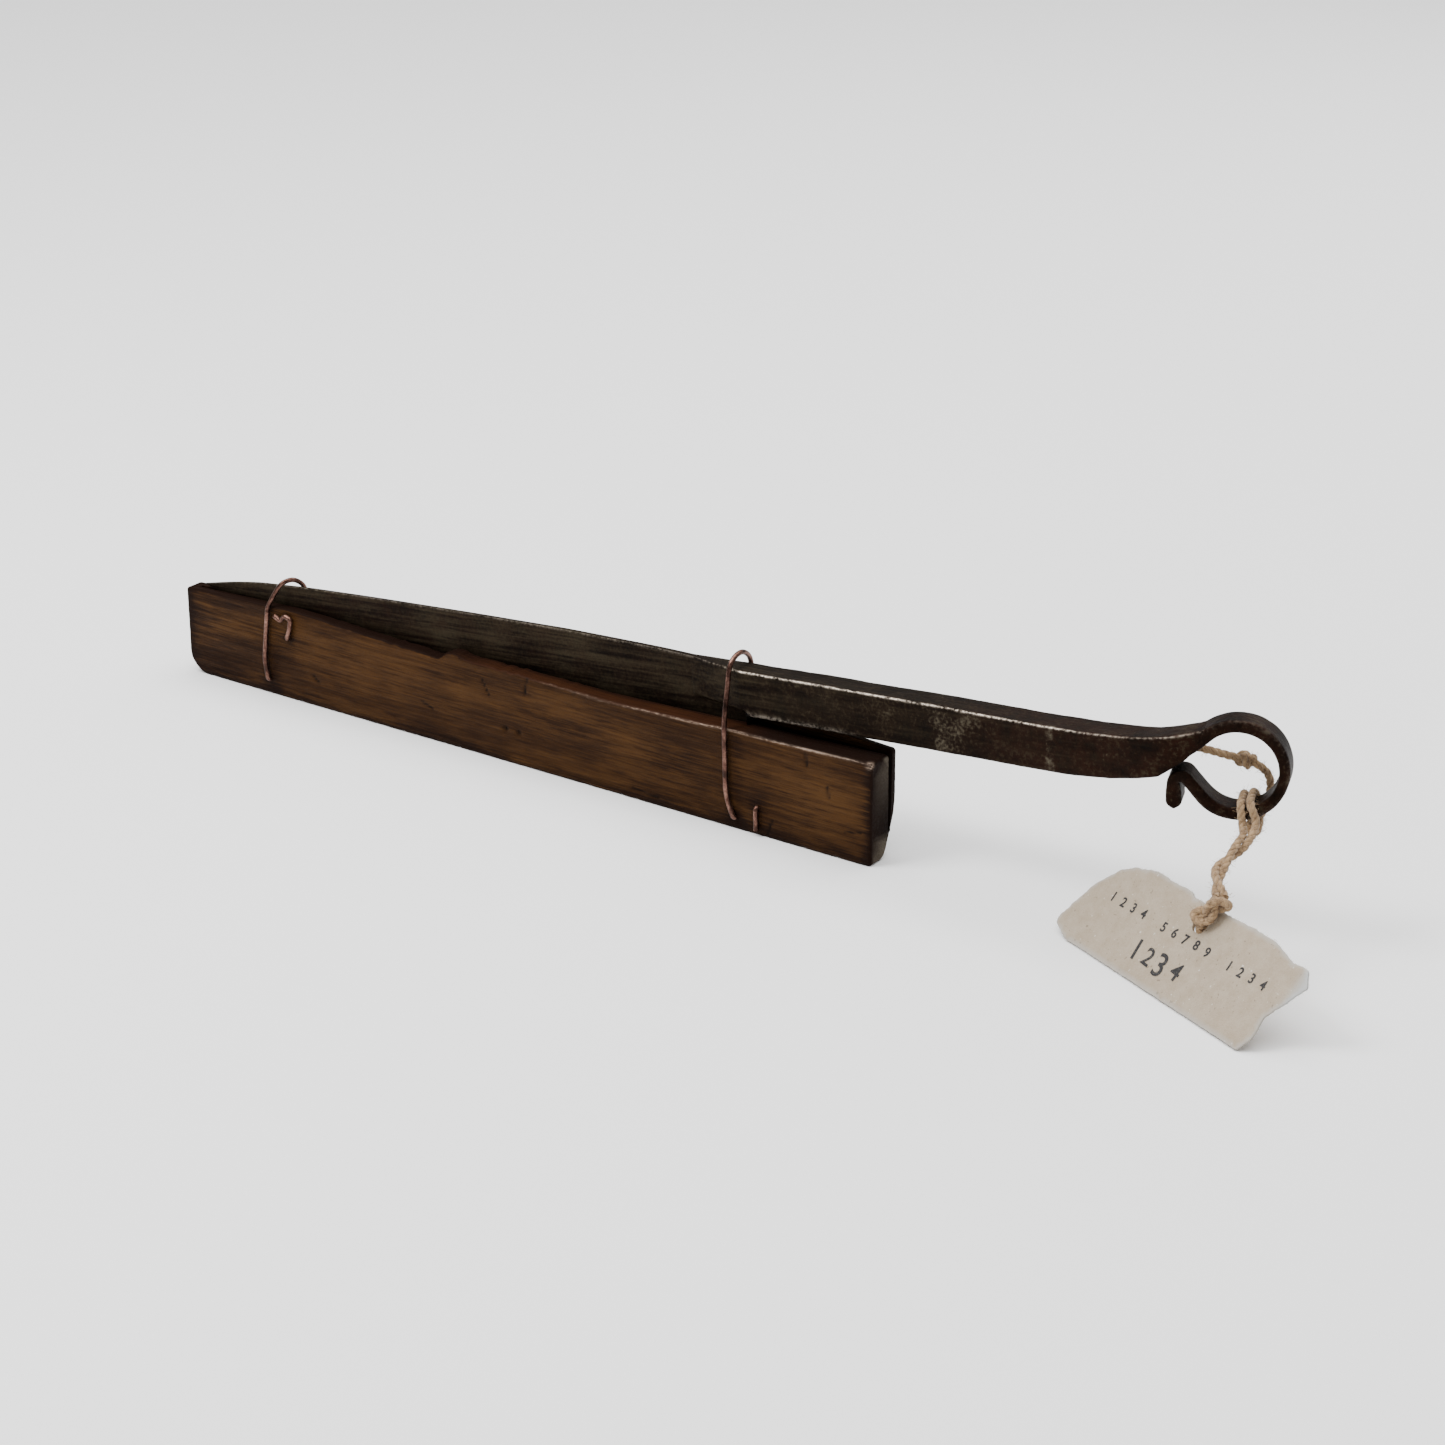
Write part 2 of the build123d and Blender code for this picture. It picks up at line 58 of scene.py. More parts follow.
Array = np.ndarray


class Body(Enum):
    """The two bodies that pieces ride on."""

    SHEATH = "sheath_body"
    KNIFE = "knife_body"


class Slot(Enum):
    """The record's material slots."""

    WOOD = "waxed_wood"
    IRON = "forged_iron"
    COPPER = "copper_wire"
    JUTE = "jute_twine"
    CARD = "card"


# ---- numbers ----------------------------------------------------------------------------------
def ease(low: float, high: float, value: Array) -> Array:
    """Go smoothly from 0 at low to 1 at high.

    Args:
        low: where the step starts.
        high: where it ends; it may be the smaller one.
        value: where to look.

    Returns:
        The step's height at each value.
    """
    part = np.clip((np.asarray(value, float) - low) / (high - low), 0.0, 1.0)
    return part * part * (3.0 - 2.0 * part)


def bell(value: Array, width: float) -> Array:
    """Return 1 at zero, falling smoothly to nothing a few widths away."""
    return np.exp(-((np.asarray(value, float) / width) ** 2))


class Ripple:
    """Smooth seeded noise in space, from -1 to 1."""

    def __init__(self, seed: int) -> None:
        """Fill the lattice from the seed."""
        self.lattice = np.random.default_rng(seed).uniform(-1.0, 1.0, (32, 32, 32))

    def at(self, points: Array, size: Sequence[float]) -> Array:
        """Read the noise.

        Args:
            points: places, one to a row, in millimetres.
            size: how long one wave is along x, y and z.

        Returns:
            One number for each place.
        """
        scaled = np.asarray(points, float) / np.asarray(size, float)
        low = np.floor(scaled).astype(int)
        part = scaled - low
        part = part * part * (3.0 - 2.0 * part)
        total = np.zeros(len(scaled))
        for corner in range(8):
            bits = np.array([corner & 1, corner >> 1 & 1, corner >> 2 & 1])
            weight = np.prod(np.where(bits, part, 1.0 - part), axis=1)
            cell = (low + bits) % 32
            total += weight * self.lattice[cell[:, 0], cell[:, 1], cell[:, 2]]
        return total

    def rough(self, points: Array, size: Sequence[float], layers: int = 3) -> Array:
        """Add finer and weaker layers of the noise together.

        Args:
            points: places, one to a row, in millimetres.
            size: how long one wave of the first layer is along x, y and z.
            layers: how many layers are added.

        Returns:
            One number for each place.
        """
        total = np.zeros(len(points))
        for layer in range(layers):
            total += self.at(points, np.asarray(size, float) / 2.0**layer) / 2.0**layer
        return total / 1.75


# ---- meshes -----------------------------------------------------------------------------------
@dataclass
class Skin:
    """Points, faces and painted values that become one mesh."""

    points: list[Array] = field(default_factory=list)
    faces: list[tuple[int, ...]] = field(default_factory=list)
    paint: dict[str, list[Array]] = field(default_factory=dict)
    count: int = 0

    def loft(self, rings: Array, paint: dict[str, Array] | None = None) -> None:
        """Skin a row of closed rings and cap both ends.

        Args:
            rings: points as (ring, point round it, xyz), in millimetres.
            paint: values to keep for each point, shaped (ring, point) or (ring, point, 3).
        """
        number, around = rings.shape[:2]
        grid = self.count + np.arange(number * around).reshape(number, around)
        here, ahead = grid[:-1], grid[1:]
        quads = np.stack([here, np.roll(here, -1, 1), np.roll(ahead, -1, 1), ahead], -1)
        self.faces += [tuple(q) for q in quads.reshape(-1, 4).tolist()]
        self.faces += [tuple(grid[0][::-1].tolist()), tuple(grid[-1].tolist())]
        self.points.append(rings.reshape(-1, 3))
        for name, values in (paint or {}).items():
            flat = values.reshape(-1, 3) if values.ndim == 3 else values.reshape(-1)
            self.paint.setdefault(name, []).append(flat)
        self.count += number * around

    def shape(self, points: Array, faces: Iterable[Sequence[int]]) -> None:
        """Add loose points and the faces on them.

        Args:
            points: places, one to a row, in millimetres.
            faces: for each face, the numbers of its points, counted from the first one given here.
        """
        self.faces += [tuple(int(i) + self.count for i in face) for face in faces]
        self.points.append(np.asarray(points, float))
        self.count += len(points)

    def mesh(self, name: str, dent: Array | None = None) -> bpy.types.Mesh:
        """Write the mesh, faces outwards, in metres.

        Args:
            name: the mesh's name.
            dent: how far each point moves along its normal, in millimetres.

        Returns:
            The finished mesh.
        """
        places = np.concatenate(self.points)
        made = bpy.data.meshes.new(name)
        made.from_pydata(places.tolist(), [], self.faces)
        for key, parts in self.paint.items():
            values = np.concatenate(parts)
            kind = "FLOAT_VECTOR" if values.ndim == 2 else "FLOAT"
            layer = made.attributes.new(key, kind, "POINT")
            layer.data.foreach_set("vector" if values.ndim == 2 else "value", values.ravel())
        work = bmesh.new()
        work.from_mesh(made)
        bmesh.ops.recalc_face_normals(work, faces=work.faces)
        caps = [face for face in work.faces if len(face.verts) > 4]
        bmesh.ops.triangulate(work, faces=caps)
        work.to_mesh(made)
        work.free()
        if dent is not None:
            normals = np.zeros(len(places) * 3)
            made.vertex_normals.foreach_get("vector", normals)
            places = places + normals.reshape(-1, 3) * dent[:, None]
        made.vertices.foreach_set("co", (places * MM).ravel())
        made.shade_smooth()
        made.set_sharp_from_angle(angle=math.radians(38.0))
        made.update()
        return made


def added(name: str, data: bpy.types.ID) -> bpy.types.Object:
    """Put a new object in the scene.

    Args:
        name: name of the object.
        data: mesh or curve that it holds.

    Returns:
        The new object.
    """
    made = bpy.data.objects.new(name, data)
    bpy.context.scene.collection.objects.link(made)
    return made


def final_mesh(source: bpy.types.Object) -> bpy.types.Mesh:
    """Return an object's mesh as its modifiers or its curve leave it.

    Args:
        source: object to read, already in the scene.

    Returns:
        A new mesh.
    """
    bpy.context.view_layer.update()
    graph = bpy.context.evaluated_depsgraph_get()
    return bpy.data.meshes.new_from_object(source.evaluated_get(graph), depsgraph=graph)


def place(mesh: bpy.types.Mesh, body: Body, finish: bpy.types.Material) -> bpy.types.Object:
    """Put a mesh in the scene as one piece on a body.

    Args:
        mesh: the piece's mesh, in metres, in the frame's place.
        body: what it rides on.
        finish: its material.

    Returns:
        The piece.
    """
    piece = added(mesh.name, mesh)
    mesh.materials.clear()
    mesh.materials.append(finish)
    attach(piece, body.value)
    places = np.zeros(len(mesh.vertices) * 3)
    mesh.vertices.foreach_get("co", places)
    places = places.reshape(-1, 3) / MM
    LOG.info(
        "%s: %d faces, %s to %s mm", mesh.name, len(mesh.polygons), places.min(0).round(1),
        places.max(0).round(1)
    )
    return piece


def ring(
    corners: Sequence[Sequence[float]], radii: Sequence[float], edges: Sequence[int], bend: int = 5
) -> Array:
    """Lay points round a polygon with rounded corners.

    Args:
        corners: its corners in order, as (across, up).
        radii: how far each corner's rounding reaches along its sides.
        edges: how many points lie on the side after each corner.
        bend: how many points lie on each corner.

    Returns:
        The points, always as many for the same counts.
    """
    at = np.asarray(corners, float)
    before, after = np.roll(at, 1, 0), np.roll(at, -1, 0)
    to_before, to_after = before - at, after - at
    back = np.linalg.norm(to_before, axis=1) + 1e-9
    on = np.linalg.norm(to_after, axis=1) + 1e-9
    reach = np.minimum(np.asarray(radii, float), 0.45 * np.minimum(back, on))[:, None]
    start = at + to_before / back[:, None] * reach
    end = at + to_after / on[:, None] * reach
    rows = []
    for i, number in enumerate(edges):
        s = np.linspace(0.0, 1.0, bend)[:, None]
        rows.append((1 - s) ** 2 * start[i] + 2 * s * (1 - s) * at[i] + s**2 * end[i])
        t = (np.arange(number)[:, None] + 1.0) / (number + 1.0)
        rows.append(end[i] + (start[(i + 1) % len(at)] - end[i]) * t)
    return np.concatenate(rows)


def bent_rod(points: Sequence[Sequence[float]], radii: Sequence[float], step: float) -> Array:
    """Sample a stiff rod that runs straight between bends.

    Args:
        points: where its straight runs would meet.
        radii: the radius of each bend.
        step: the longest distance between samples.

    Returns:
        Places along it.
    """
    at = [np.asarray(p, float) for p in points]
    line = [at[0]]

    def run(to: Array) -> None:
        """Add samples up to a place.

        Args:
            to: place that the straight stretch ends at.
        """
        number = max(1, int(np.linalg.norm(to - line[-1]) / step))
        start = line[-1]
        line.extend(start + (to - start) * (i + 1) / number for i in range(number))

    for before, here, after, radius in zip(at, at[1:], at[2:], radii):
        back, on = before - here, after - here
        back, on = back / np.linalg.norm(back), on / np.linalg.norm(on)
        half = math.acos(float(np.clip(back @ on, -1.0, 1.0))) / 2.0
        reach = radius / math.tan(half)
        hub = here + (back + on) / np.linalg.norm(back + on) * radius / math.sin(half)
        start, end = here + back * reach, here + on * reach
        run(start)
        for s in np.linspace(0.0, 1.0, 9)[1:]:
            spoke = start + (end - start) * s - hub
            line.append(hub + spoke / np.linalg.norm(spoke) * radius)
    run(at[-1])
    return np.array(line)


# ---- node trees -------------------------------------------------------------------------------
class Value:
    """A number socket that can be written in sums."""

    def __init__(self, tree: "Tree", socket: bpy.types.NodeSocket) -> None:
        """Hold the socket and the tree that it is in."""
        self.tree = tree
        self.socket = socket

    def _math(self, operation: str, first: object, second: object) -> "Value":
        """Join two numbers with a Math node."""
        made = self.tree.node("ShaderNodeMath", {"operation": operation}, {0: first, 1: second})
        return Value(self.tree, made.outputs[0])

    def __add__(self, other: object) -> "Value":
        """Add."""
        return self._math("ADD", self, other)

    def __sub__(self, other: object) -> "Value":
        """Subtract."""
        return self._math("SUBTRACT", self, other)

    def __rsub__(self, other: object) -> "Value":
        """Subtract from a number."""
        return self._math("SUBTRACT", other, self)

    def __mul__(self, other: object) -> "Value":
        """Multiply."""
        return self._math("MULTIPLY", self, other)

    def __truediv__(self, other: object) -> "Value":
        """Divide."""
        return self._math("DIVIDE", self, other)

    def __rtruediv__(self, other: object) -> "Value":
        """Divide a number by it."""
        return self._math("DIVIDE", other, self)

    __radd__ = __add__
    __rmul__ = __mul__

    def step(self, low: float, high: float) -> "Value":
        """Go smoothly from 0 at low to 1 at high."""
        made = self.tree.node(
            "ShaderNodeMapRange",
            {"interpolation_type": "SMOOTHSTEP"},
            {"Value": self, "From Min": low, "From Max": high},
        )
        return Value(self.tree, made.outputs["Result"])


class Tree:
    """Adds nodes to a material's or a modifier's tree."""

    def __init__(self, nodes: bpy.types.NodeTree) -> None:
        """Hold the tree."""
        self.nodes = nodes

    def node(self, kind: str, settings: dict | None = None, inputs: dict | None = None) -> bpy.types.Node:
        """Add one node.

        Args:
            kind: its type.
            settings: its own properties.
            inputs: sockets by name or number, each a constant, a Value, another socket, or a node
                whose first output is meant.

        Returns:
            The node.
        """
        made = self.nodes.nodes.new(kind)
        for name, value in (settings or {}).items():
            setattr(made, name, value)
        for name, value in (inputs or {}).items():
            socket = made.inputs[name]
            if isinstance(value, Value):
                value = value.socket
            elif isinstance(value, bpy.types.Node):
                value = value.outputs[0]
            if isinstance(value, bpy.types.NodeSocket):
                self.nodes.links.new(value, socket)
            else:
                socket.default_value = value
        return made


class Recipe(Tree):
    """The node tree of one material."""

    def __init__(self, name: str) -> None:
        """Start a material with nothing but its output.

        Args:
            name: name of the material.
        """
        self.material = bpy.data.materials.new(name)
        self.material.use_nodes = True
        super().__init__(self.material.node_tree)
        self.nodes.nodes.clear()

    def place(self) -> bpy.types.NodeSocket:
        """Return where a point is, in millimetres."""
        where = self.node("ShaderNodeTexCoord").outputs["Object"]
        return self.stretch(where, (1000.0, 1000.0, 1000.0))

    def painted(self, name: str) -> Value:
        """Return a value painted on the piece's points."""
        return Value(self, self.node("ShaderNodeAttribute", {"attribute_name": name}).outputs["Fac"])

    def painted_place(self, name: str) -> bpy.types.NodeSocket:
        """Return a place painted on the piece's points."""
        return self.node("ShaderNodeAttribute", {"attribute_name": name}).outputs["Vector"]

    def stretch(self, where: bpy.types.NodeSocket, by: Sequence[float]) -> bpy.types.NodeSocket:
        """Scale a place along each axis."""
        made = self.node("ShaderNodeVectorMath", {"operation": "MULTIPLY"}, {0: where, 1: by})
        return made.outputs[0]

    def noise(
        self, where: bpy.types.NodeSocket, size: Sequence[float], detail: float = 3.0, rough: float = 0.55
    ) -> Value:
        """Read noise.

        Args:
            where: the place, in millimetres.
            size: the length of its largest waves along each axis.
            detail: how many finer layers it has.
            rough: how strong those are.

        Returns:
            The noise, about 0 to 1.
        """
        scaled = self.stretch(where, [1.0 / s for s in size])
        made = self.node(
            "ShaderNodeTexNoise", None, {"Vector": scaled, "Scale": 1.0, "Detail": detail, "Roughness": rough}
        )
        return Value(self, made.outputs["Fac"])

    def mix(self, share: object, low: object, high: object) -> bpy.types.NodeSocket:
        """Mix two colours.

        Args:
            share: how much of the second there is.
            low: the first colour.
            high: the second colour.

        Returns:
            The mixed colour.
        """
        low = (*low, 1.0) if isinstance(low, tuple) else low
        high = (*high, 1.0) if isinstance(high, tuple) else high
        made = self.node("ShaderNodeMix", {"data_type": "RGBA"}, {0: share, 6: low, 7: high})
        return made.outputs[2]

    def bump(self, height: Value, strength: float, reach: float) -> bpy.types.NodeSocket:
        """Turn a height, in millimetres times reach, into a normal."""
        made = self.node(
            "ShaderNodeBump", None, {"Height": height, "Strength": strength, "Distance": reach * MM}
        )
        return made.outputs["Normal"]

    def surface(self, inputs: dict) -> bpy.types.Material:
        """Close the material with its shader.

        Args:
            inputs: values or links for the sockets of the shader.

        Returns:
            The finished material.
        """
        shader = self.node("ShaderNodeBsdfPrincipled", None, inputs)
        self.node("ShaderNodeOutputMaterial", None, {"Surface": shader})
        return self.material


# ---- finishes ---------------------------------------------------------------------------------
@dataclass(frozen=True)
class WaxedWood:
    """Old brown wood, waxed and stained, darker at its ends and bottom, with painted light patches on the
    front, painted shade in the kerf, on the top and on the end, and painted highlights along the front top
    edge and on the end.
    """

    dark: tuple = (0.009, 0.0036, 0.0020)
    middle: tuple = (0.025, 0.0102, 0.0034)
    warm: tuple = (0.067, 0.0295, 0.0085)
    red: tuple = (0.031, 0.0105, 0.0044)
    pale: tuple = (0.46, 0.34, 0.26)
    ash: tuple = (0.125, 0.104, 0.078)

    def make(self) -> bpy.types.Material:
        """Build the wood from its painted stains, shade and highlights and its long grain.

        Returns:
            The finished material.
        """
        mix = Recipe("waxed_wood")
        where = mix.place()
        # stains round the wire holes, darker ends and bottom, and painted shade in the kerf, on the top and
        # on the end face; lit holds painted light patches, which also get a little coat
        dirt_and_shade = mix.painted("dirt_and_shade")
        lit = mix.painted("lit")
        streak = mix.noise(where, (32.0, 1.0, 1.0), 6.0, 0.64).step(0.28, 0.72)
        fine = mix.noise(where, (9.0, 0.26, 0.26), 5.0, 0.65).step(0.30, 0.70)
        cloud = mix.noise(where, (24.0, 9.0, 9.0), 3.0, 0.6).step(0.30, 0.70)
        fleck = mix.noise(where, (1.1, 1.1, 0.5), 3.0, 0.7)
        warmth = (lit * 0.55 + streak * 0.42 + fine * 0.34 + cloud * 0.40 - 0.40).step(0.0, 1.0)
        colour = mix.mix(warmth, self.middle, self.warm)
        depth = (
            dirt_and_shade * 0.95 + (1.0 - streak) * 0.50 + (1.0 - fine) * 0.42 + (1.0 - cloud) * 0.36 - 0.60
        ).step(0.0, 0.9)
        colour = mix.mix(depth, colour, self.dark)
        colour = mix.mix(mix.painted("top") * (0.35 + fine * 0.8), colour, self.red)
        colour = mix.mix((fleck.step(0.64, 0.78)) * 0.7, colour, self.dark)
        # painted highlight: the pale strip on the mouth's end face, with a worn bottom corner
        colour = mix.mix(mix.painted("end_highlight_and_wear") * (0.35 + fine), colour, self.ash)
        # near-black splits and holes, and the kerf painted near-black as painted shade
        colour = mix.mix(mix.painted("dark_marks"), colour, (0.004, 0.002, 0.0015))
        # painted highlight along the front top edge and at the mouth's top corner, broken up
        broken = (fleck * 1.2 + streak * 0.8 - 0.95).step(-0.15, 0.35)
        edge_highlight = mix.painted("rim") * (0.15 + broken * 0.95)
        colour = mix.mix(edge_highlight, colour, self.pale)
        height = streak * 0.6 + fine * 0.7 + fleck * 0.25
        return mix.surface({
            "Base Color": colour,
            "Roughness": 0.42 + (1.0 - streak) * 0.2 + dirt_and_shade * 0.12,
            "Normal": mix.bump(height, 0.5, 0.16),
            "Coat Weight": lit * 0.03,
            "Coat Roughness": 0.32,
            "Specular IOR Level": 0.04,
        })


@dataclass(frozen=True)
class ForgedIron:
    """Dark forge scale with brown rust and grey bloom, and painted highlights along its front edges, brighter
    and more metallic there.
    """

    scale: tuple = (0.0125, 0.0078, 0.0046)
    soot: tuple = (0.0045, 0.0034, 0.0028)
    olive: tuple = (0.042, 0.033, 0.020)
    rust: tuple = (0.021, 0.0082, 0.0052)
    grey: tuple = (0.112, 0.098, 0.070)
    bright: tuple = (0.66, 0.57, 0.47)

    def make(self) -> bpy.types.Material:
        """Build the iron from its painted rust, bloom and edge highlights, streaks along it and patches of
        bloom.

        Returns:
            The finished material.
        """
        mix = Recipe("forged_iron")
        where = mix.painted_place("forged")
        patch = mix.painted("bloom")
        streak = mix.noise(where, (30.0, 1.1, 1.1), 6.0, 0.66)
        blot = mix.noise(where, (7.0, 7.0, 7.0), 6.0, 0.68)
        pit = mix.noise(where, (0.9, 0.9, 0.9), 3.0, 0.65)
        cloud = mix.noise(where, (22.0, 10.0, 10.0), 2.0, 0.5)
        drawn = mix.painted("streaky")
        grain = streak * drawn + blot * (1.0 - drawn)
        colour = mix.mix((grain * 0.9 + pit * 0.5 - 0.48).step(0.0, 0.5), self.soot, self.scale)
        bloom = (drawn * (streak * 1.1 + cloud * 0.5 + pit * 0.35 - 0.78)).step(0.0, 0.42)
        colour = mix.mix(bloom * 0.85, colour, self.olive)
        colour = mix.mix(mix.painted("rust") * (0.3 + blot).step(0.55, 1.0) * 0.9, colour, self.rust)
        speck = (blot * 1.1 + pit * 1.2 - 1.16).step(0.0, 0.34) * (1.0 - drawn)
        colour = mix.mix(speck * 0.9, colour, self.olive)
        mottled = (patch * 0.9 + blot * 1.3 + pit * 0.75 - 1.48).step(0.0, 0.5)
        colour = mix.mix(mottled * 0.75, colour, self.grey)
        # painted highlight along the front edges, brighter, more metallic and smoother
        edge_highlight = mix.painted("rim") * (blot * 0.9 + pit * 1.4 - 0.92).step(0.0, 0.5)
        colour = mix.mix(edge_highlight, colour, self.bright)
        height = grain * 0.5 + blot * 0.25 + pit * 0.55
        return mix.surface({
            "Base Color": colour,
            "Metallic": 0.86 + edge_highlight * 0.12,
            "Roughness": 0.56 - edge_highlight * 0.22 - mottled * 0.08 + pit * 0.1,
            "Normal": mix.bump(height, 0.75, 0.35),
            "Specular IOR Level": 0.05,
        })


@dataclass(frozen=True)
class CopperWire:
    """Dull brown copper, pinker where it has been worn."""

    brown: tuple = (0.065, 0.029, 0.021)
    pink: tuple = (0.31, 0.170, 0.128)
    black: tuple = (0.012, 0.007, 0.0055)

    def make(self) -> bpy.types.Material:
        """Build the tarnish.

        Returns:
            The finished material.
        """
        mix = Recipe("copper_wire")
        where = mix.place()
        blot = mix.noise(where, (2.6, 2.6, 3.5), 4.0, 0.6)
        pit = mix.noise(where, (0.5, 0.5, 0.5), 2.0, 0.6)
        colour = mix.mix((blot * 0.8 + pit * 0.5 - 0.52).step(0.0, 0.5), self.brown, self.pink)
        colour = mix.mix((1.0 - blot).step(0.5, 0.72) * 0.75, colour, self.black)
        return mix.surface({
            "Base Color": colour,
            "Metallic": 0.92,
            "Roughness": 0.24 + blot * 0.2,
            "Normal": mix.bump(blot * 0.5 + pit * 0.5, 0.5, 0.12),
        })


@dataclass(frozen=True)
class Jute:
    """Pale brown hairy fibre."""

    pale: tuple = (0.43, 0.285, 0.155)
    dark: tuple = (0.080, 0.040, 0.018)

    def make(self) -> bpy.types.Material:
        """Build the fibre's colour and its fine lines.

        Returns:
            The finished material.
        """
        mix = Recipe("jute_twine")
        where = mix.place()
        blot = mix.noise(where, (1.6, 1.6, 1.6), 3.0, 0.6)
        hair = mix.noise(where, (0.16, 0.16, 0.7), 3.0, 0.65)
        colour = mix.mix((blot * 0.9 + hair * 0.7 - 0.42).step(0.0, 0.62), self.dark, self.pale)
        return mix.surface({
            "Base Color": colour,
            "Roughness": 0.82 + blot * 0.1,
            "Normal": mix.bump(hair + blot * 0.4, 0.8, 0.14),
            "Specular IOR Level": 0.2,
            "Sheen Weight": 0.25,
            "Sheen Roughness": 0.5,
        })


@dataclass(frozen=True)
class GreyCard:
    """Uncoated grey-beige board with fibre flecks, darker where it is torn."""

    board: tuple = (0.405, 0.342, 0.262)
    warm: tuple = (0.322, 0.254, 0.182)
    fleck: tuple = (0.165, 0.120, 0.082)
    grey: tuple = (0.430, 0.435, 0.425)

    def make(self) -> bpy.types.Material:
        """Build the board's mottle and flecks.

        Returns:
            The finished material.
        """
        mix = Recipe("card")
        where = mix.place()
        cloud = mix.noise(where, (3.6, 3.6, 3.6), 4.0, 0.65)
        grit = mix.noise(where, (0.35, 0.35, 0.35), 3.0, 0.7)
        speck = mix.noise(where, (0.8, 0.8, 1.1), 1.0, 0.4)
        colour = mix.mix((cloud * 0.9 + grit * 0.8 - 0.5).step(0.0, 0.75), self.board, self.warm)
        colour = mix.mix(speck.step(0.70, 0.76) * 0.6, colour, self.fleck)
        colour = mix.mix((1.0 - speck).step(0.73, 0.80) * 0.5, colour, (0.74, 0.72, 0.66))
        colour = mix.mix(mix.painted("torn") * (0.4 + grit), colour, self.grey)
        return mix.surface({
            "Base Color": colour,
            "Roughness": 0.88 + grit * 0.06,
            "Normal": mix.bump(grit * 0.8 + cloud * 0.4, 0.6, 0.16),
            "Specular IOR Level": 0.10,
        })


@dataclass(frozen=True)
class Ink:
    """Thin black ink with the card showing through."""

    black: tuple = (0.018, 0.017, 0.018)
    thin: tuple = (0.150, 0.135, 0.120)

    def make(self) -> bpy.types.Material:
        """Build the ink, uneven as a typed key leaves it.

        Returns:
            The finished material.
        """
        mix = Recipe("ink")
        grit = mix.noise(mix.place(), (0.35, 0.35, 0.35), 3.0, 0.7)
        colour = mix.mix(grit.step(0.5, 0.75), self.black, self.thin)
        return mix.surface({"Base Color": colour, "Roughness": 0.6 + grit * 0.2, "Specular IOR Level": 0.3})


@dataclass(frozen=True)
class StudioFloor:
    """The plain pale floor."""

    pale: tuple = (0.93, 0.93, 0.93)

    def make(self) -> bpy.types.Material:
        """Build the floor, with the faintest mottle.

        Returns:
            The finished material.
        """
        mix = Recipe("studio_floor")
        cloud = mix.noise(mix.place(), (300.0, 300.0, 300.0), 2.0)
        colour = mix.mix(cloud * 0.06, self.pale, (0.88, 0.88, 0.88))
        return mix.surface({"Base Color": colour, "Roughness": 0.85, "Specular IOR Level": 0.1})


# ---- geometry nodes ---------------------------------------------------------------------------
class Growth(Tree):
    """A Geometry Nodes tree with named inputs, run once on a piece and made plain."""

    def __init__(self, name: str, inputs: dict[str, str]) -> None:
        """Start the tree.

        Args:
            name: its name.
            inputs: the type of each named input.
        """
        made = bpy.data.node_groups.new(name, "GeometryNodeTree")
        super().__init__(made)
        made.interface.new_socket("Geometry", in_out="INPUT", socket_type="NodeSocketGeometry")
        self.sockets = {
            label: made.interface.new_socket(label, in_out="INPUT", socket_type=kind).identifier
            for label, kind in inputs.items()
        }
        made.interface.new_socket("Geometry", in_out="OUTPUT", socket_type="NodeSocketGeometry")
        self.given = self.node("NodeGroupInput").outputs

    def number(self, label: str) -> Value:
        """Return one of the named inputs, to be written in sums."""
        return Value(self, self.given[label])

    def close(self, geometry: bpy.types.Node) -> None:
        """Realize everything, give it the material input's finish, and end the tree.

        Args:
            geometry: node whose geometry is the result.
        """
        real = self.node("GeometryNodeRealizeInstances", None, {0: geometry})
        dressed = self.node(
            "GeometryNodeSetMaterial", None, {"Geometry": real, "Material": self.given["Material"]}
        )
        self.node("NodeGroupOutput", None, {0: dressed})

    def run(self, source: bpy.types.Object, name: str, values: dict) -> bpy.types.Mesh:
        """Run the tree on an object and keep what it makes.

        Args:
            source: the object; it is removed afterwards.
            name: the new mesh's name.
            values: a value for each named input.

        Returns:
            The plain mesh.
        """
        modifier = source.modifiers.new(name, "NODES")
        modifier.node_group = self.nodes
        for label, value in values.items():
            modifier[self.sockets[label]] = value
        made = final_mesh(source)
        made.name = name
        source.modifiers.remove(modifier)
        bpy.data.objects.remove(source)
        return made


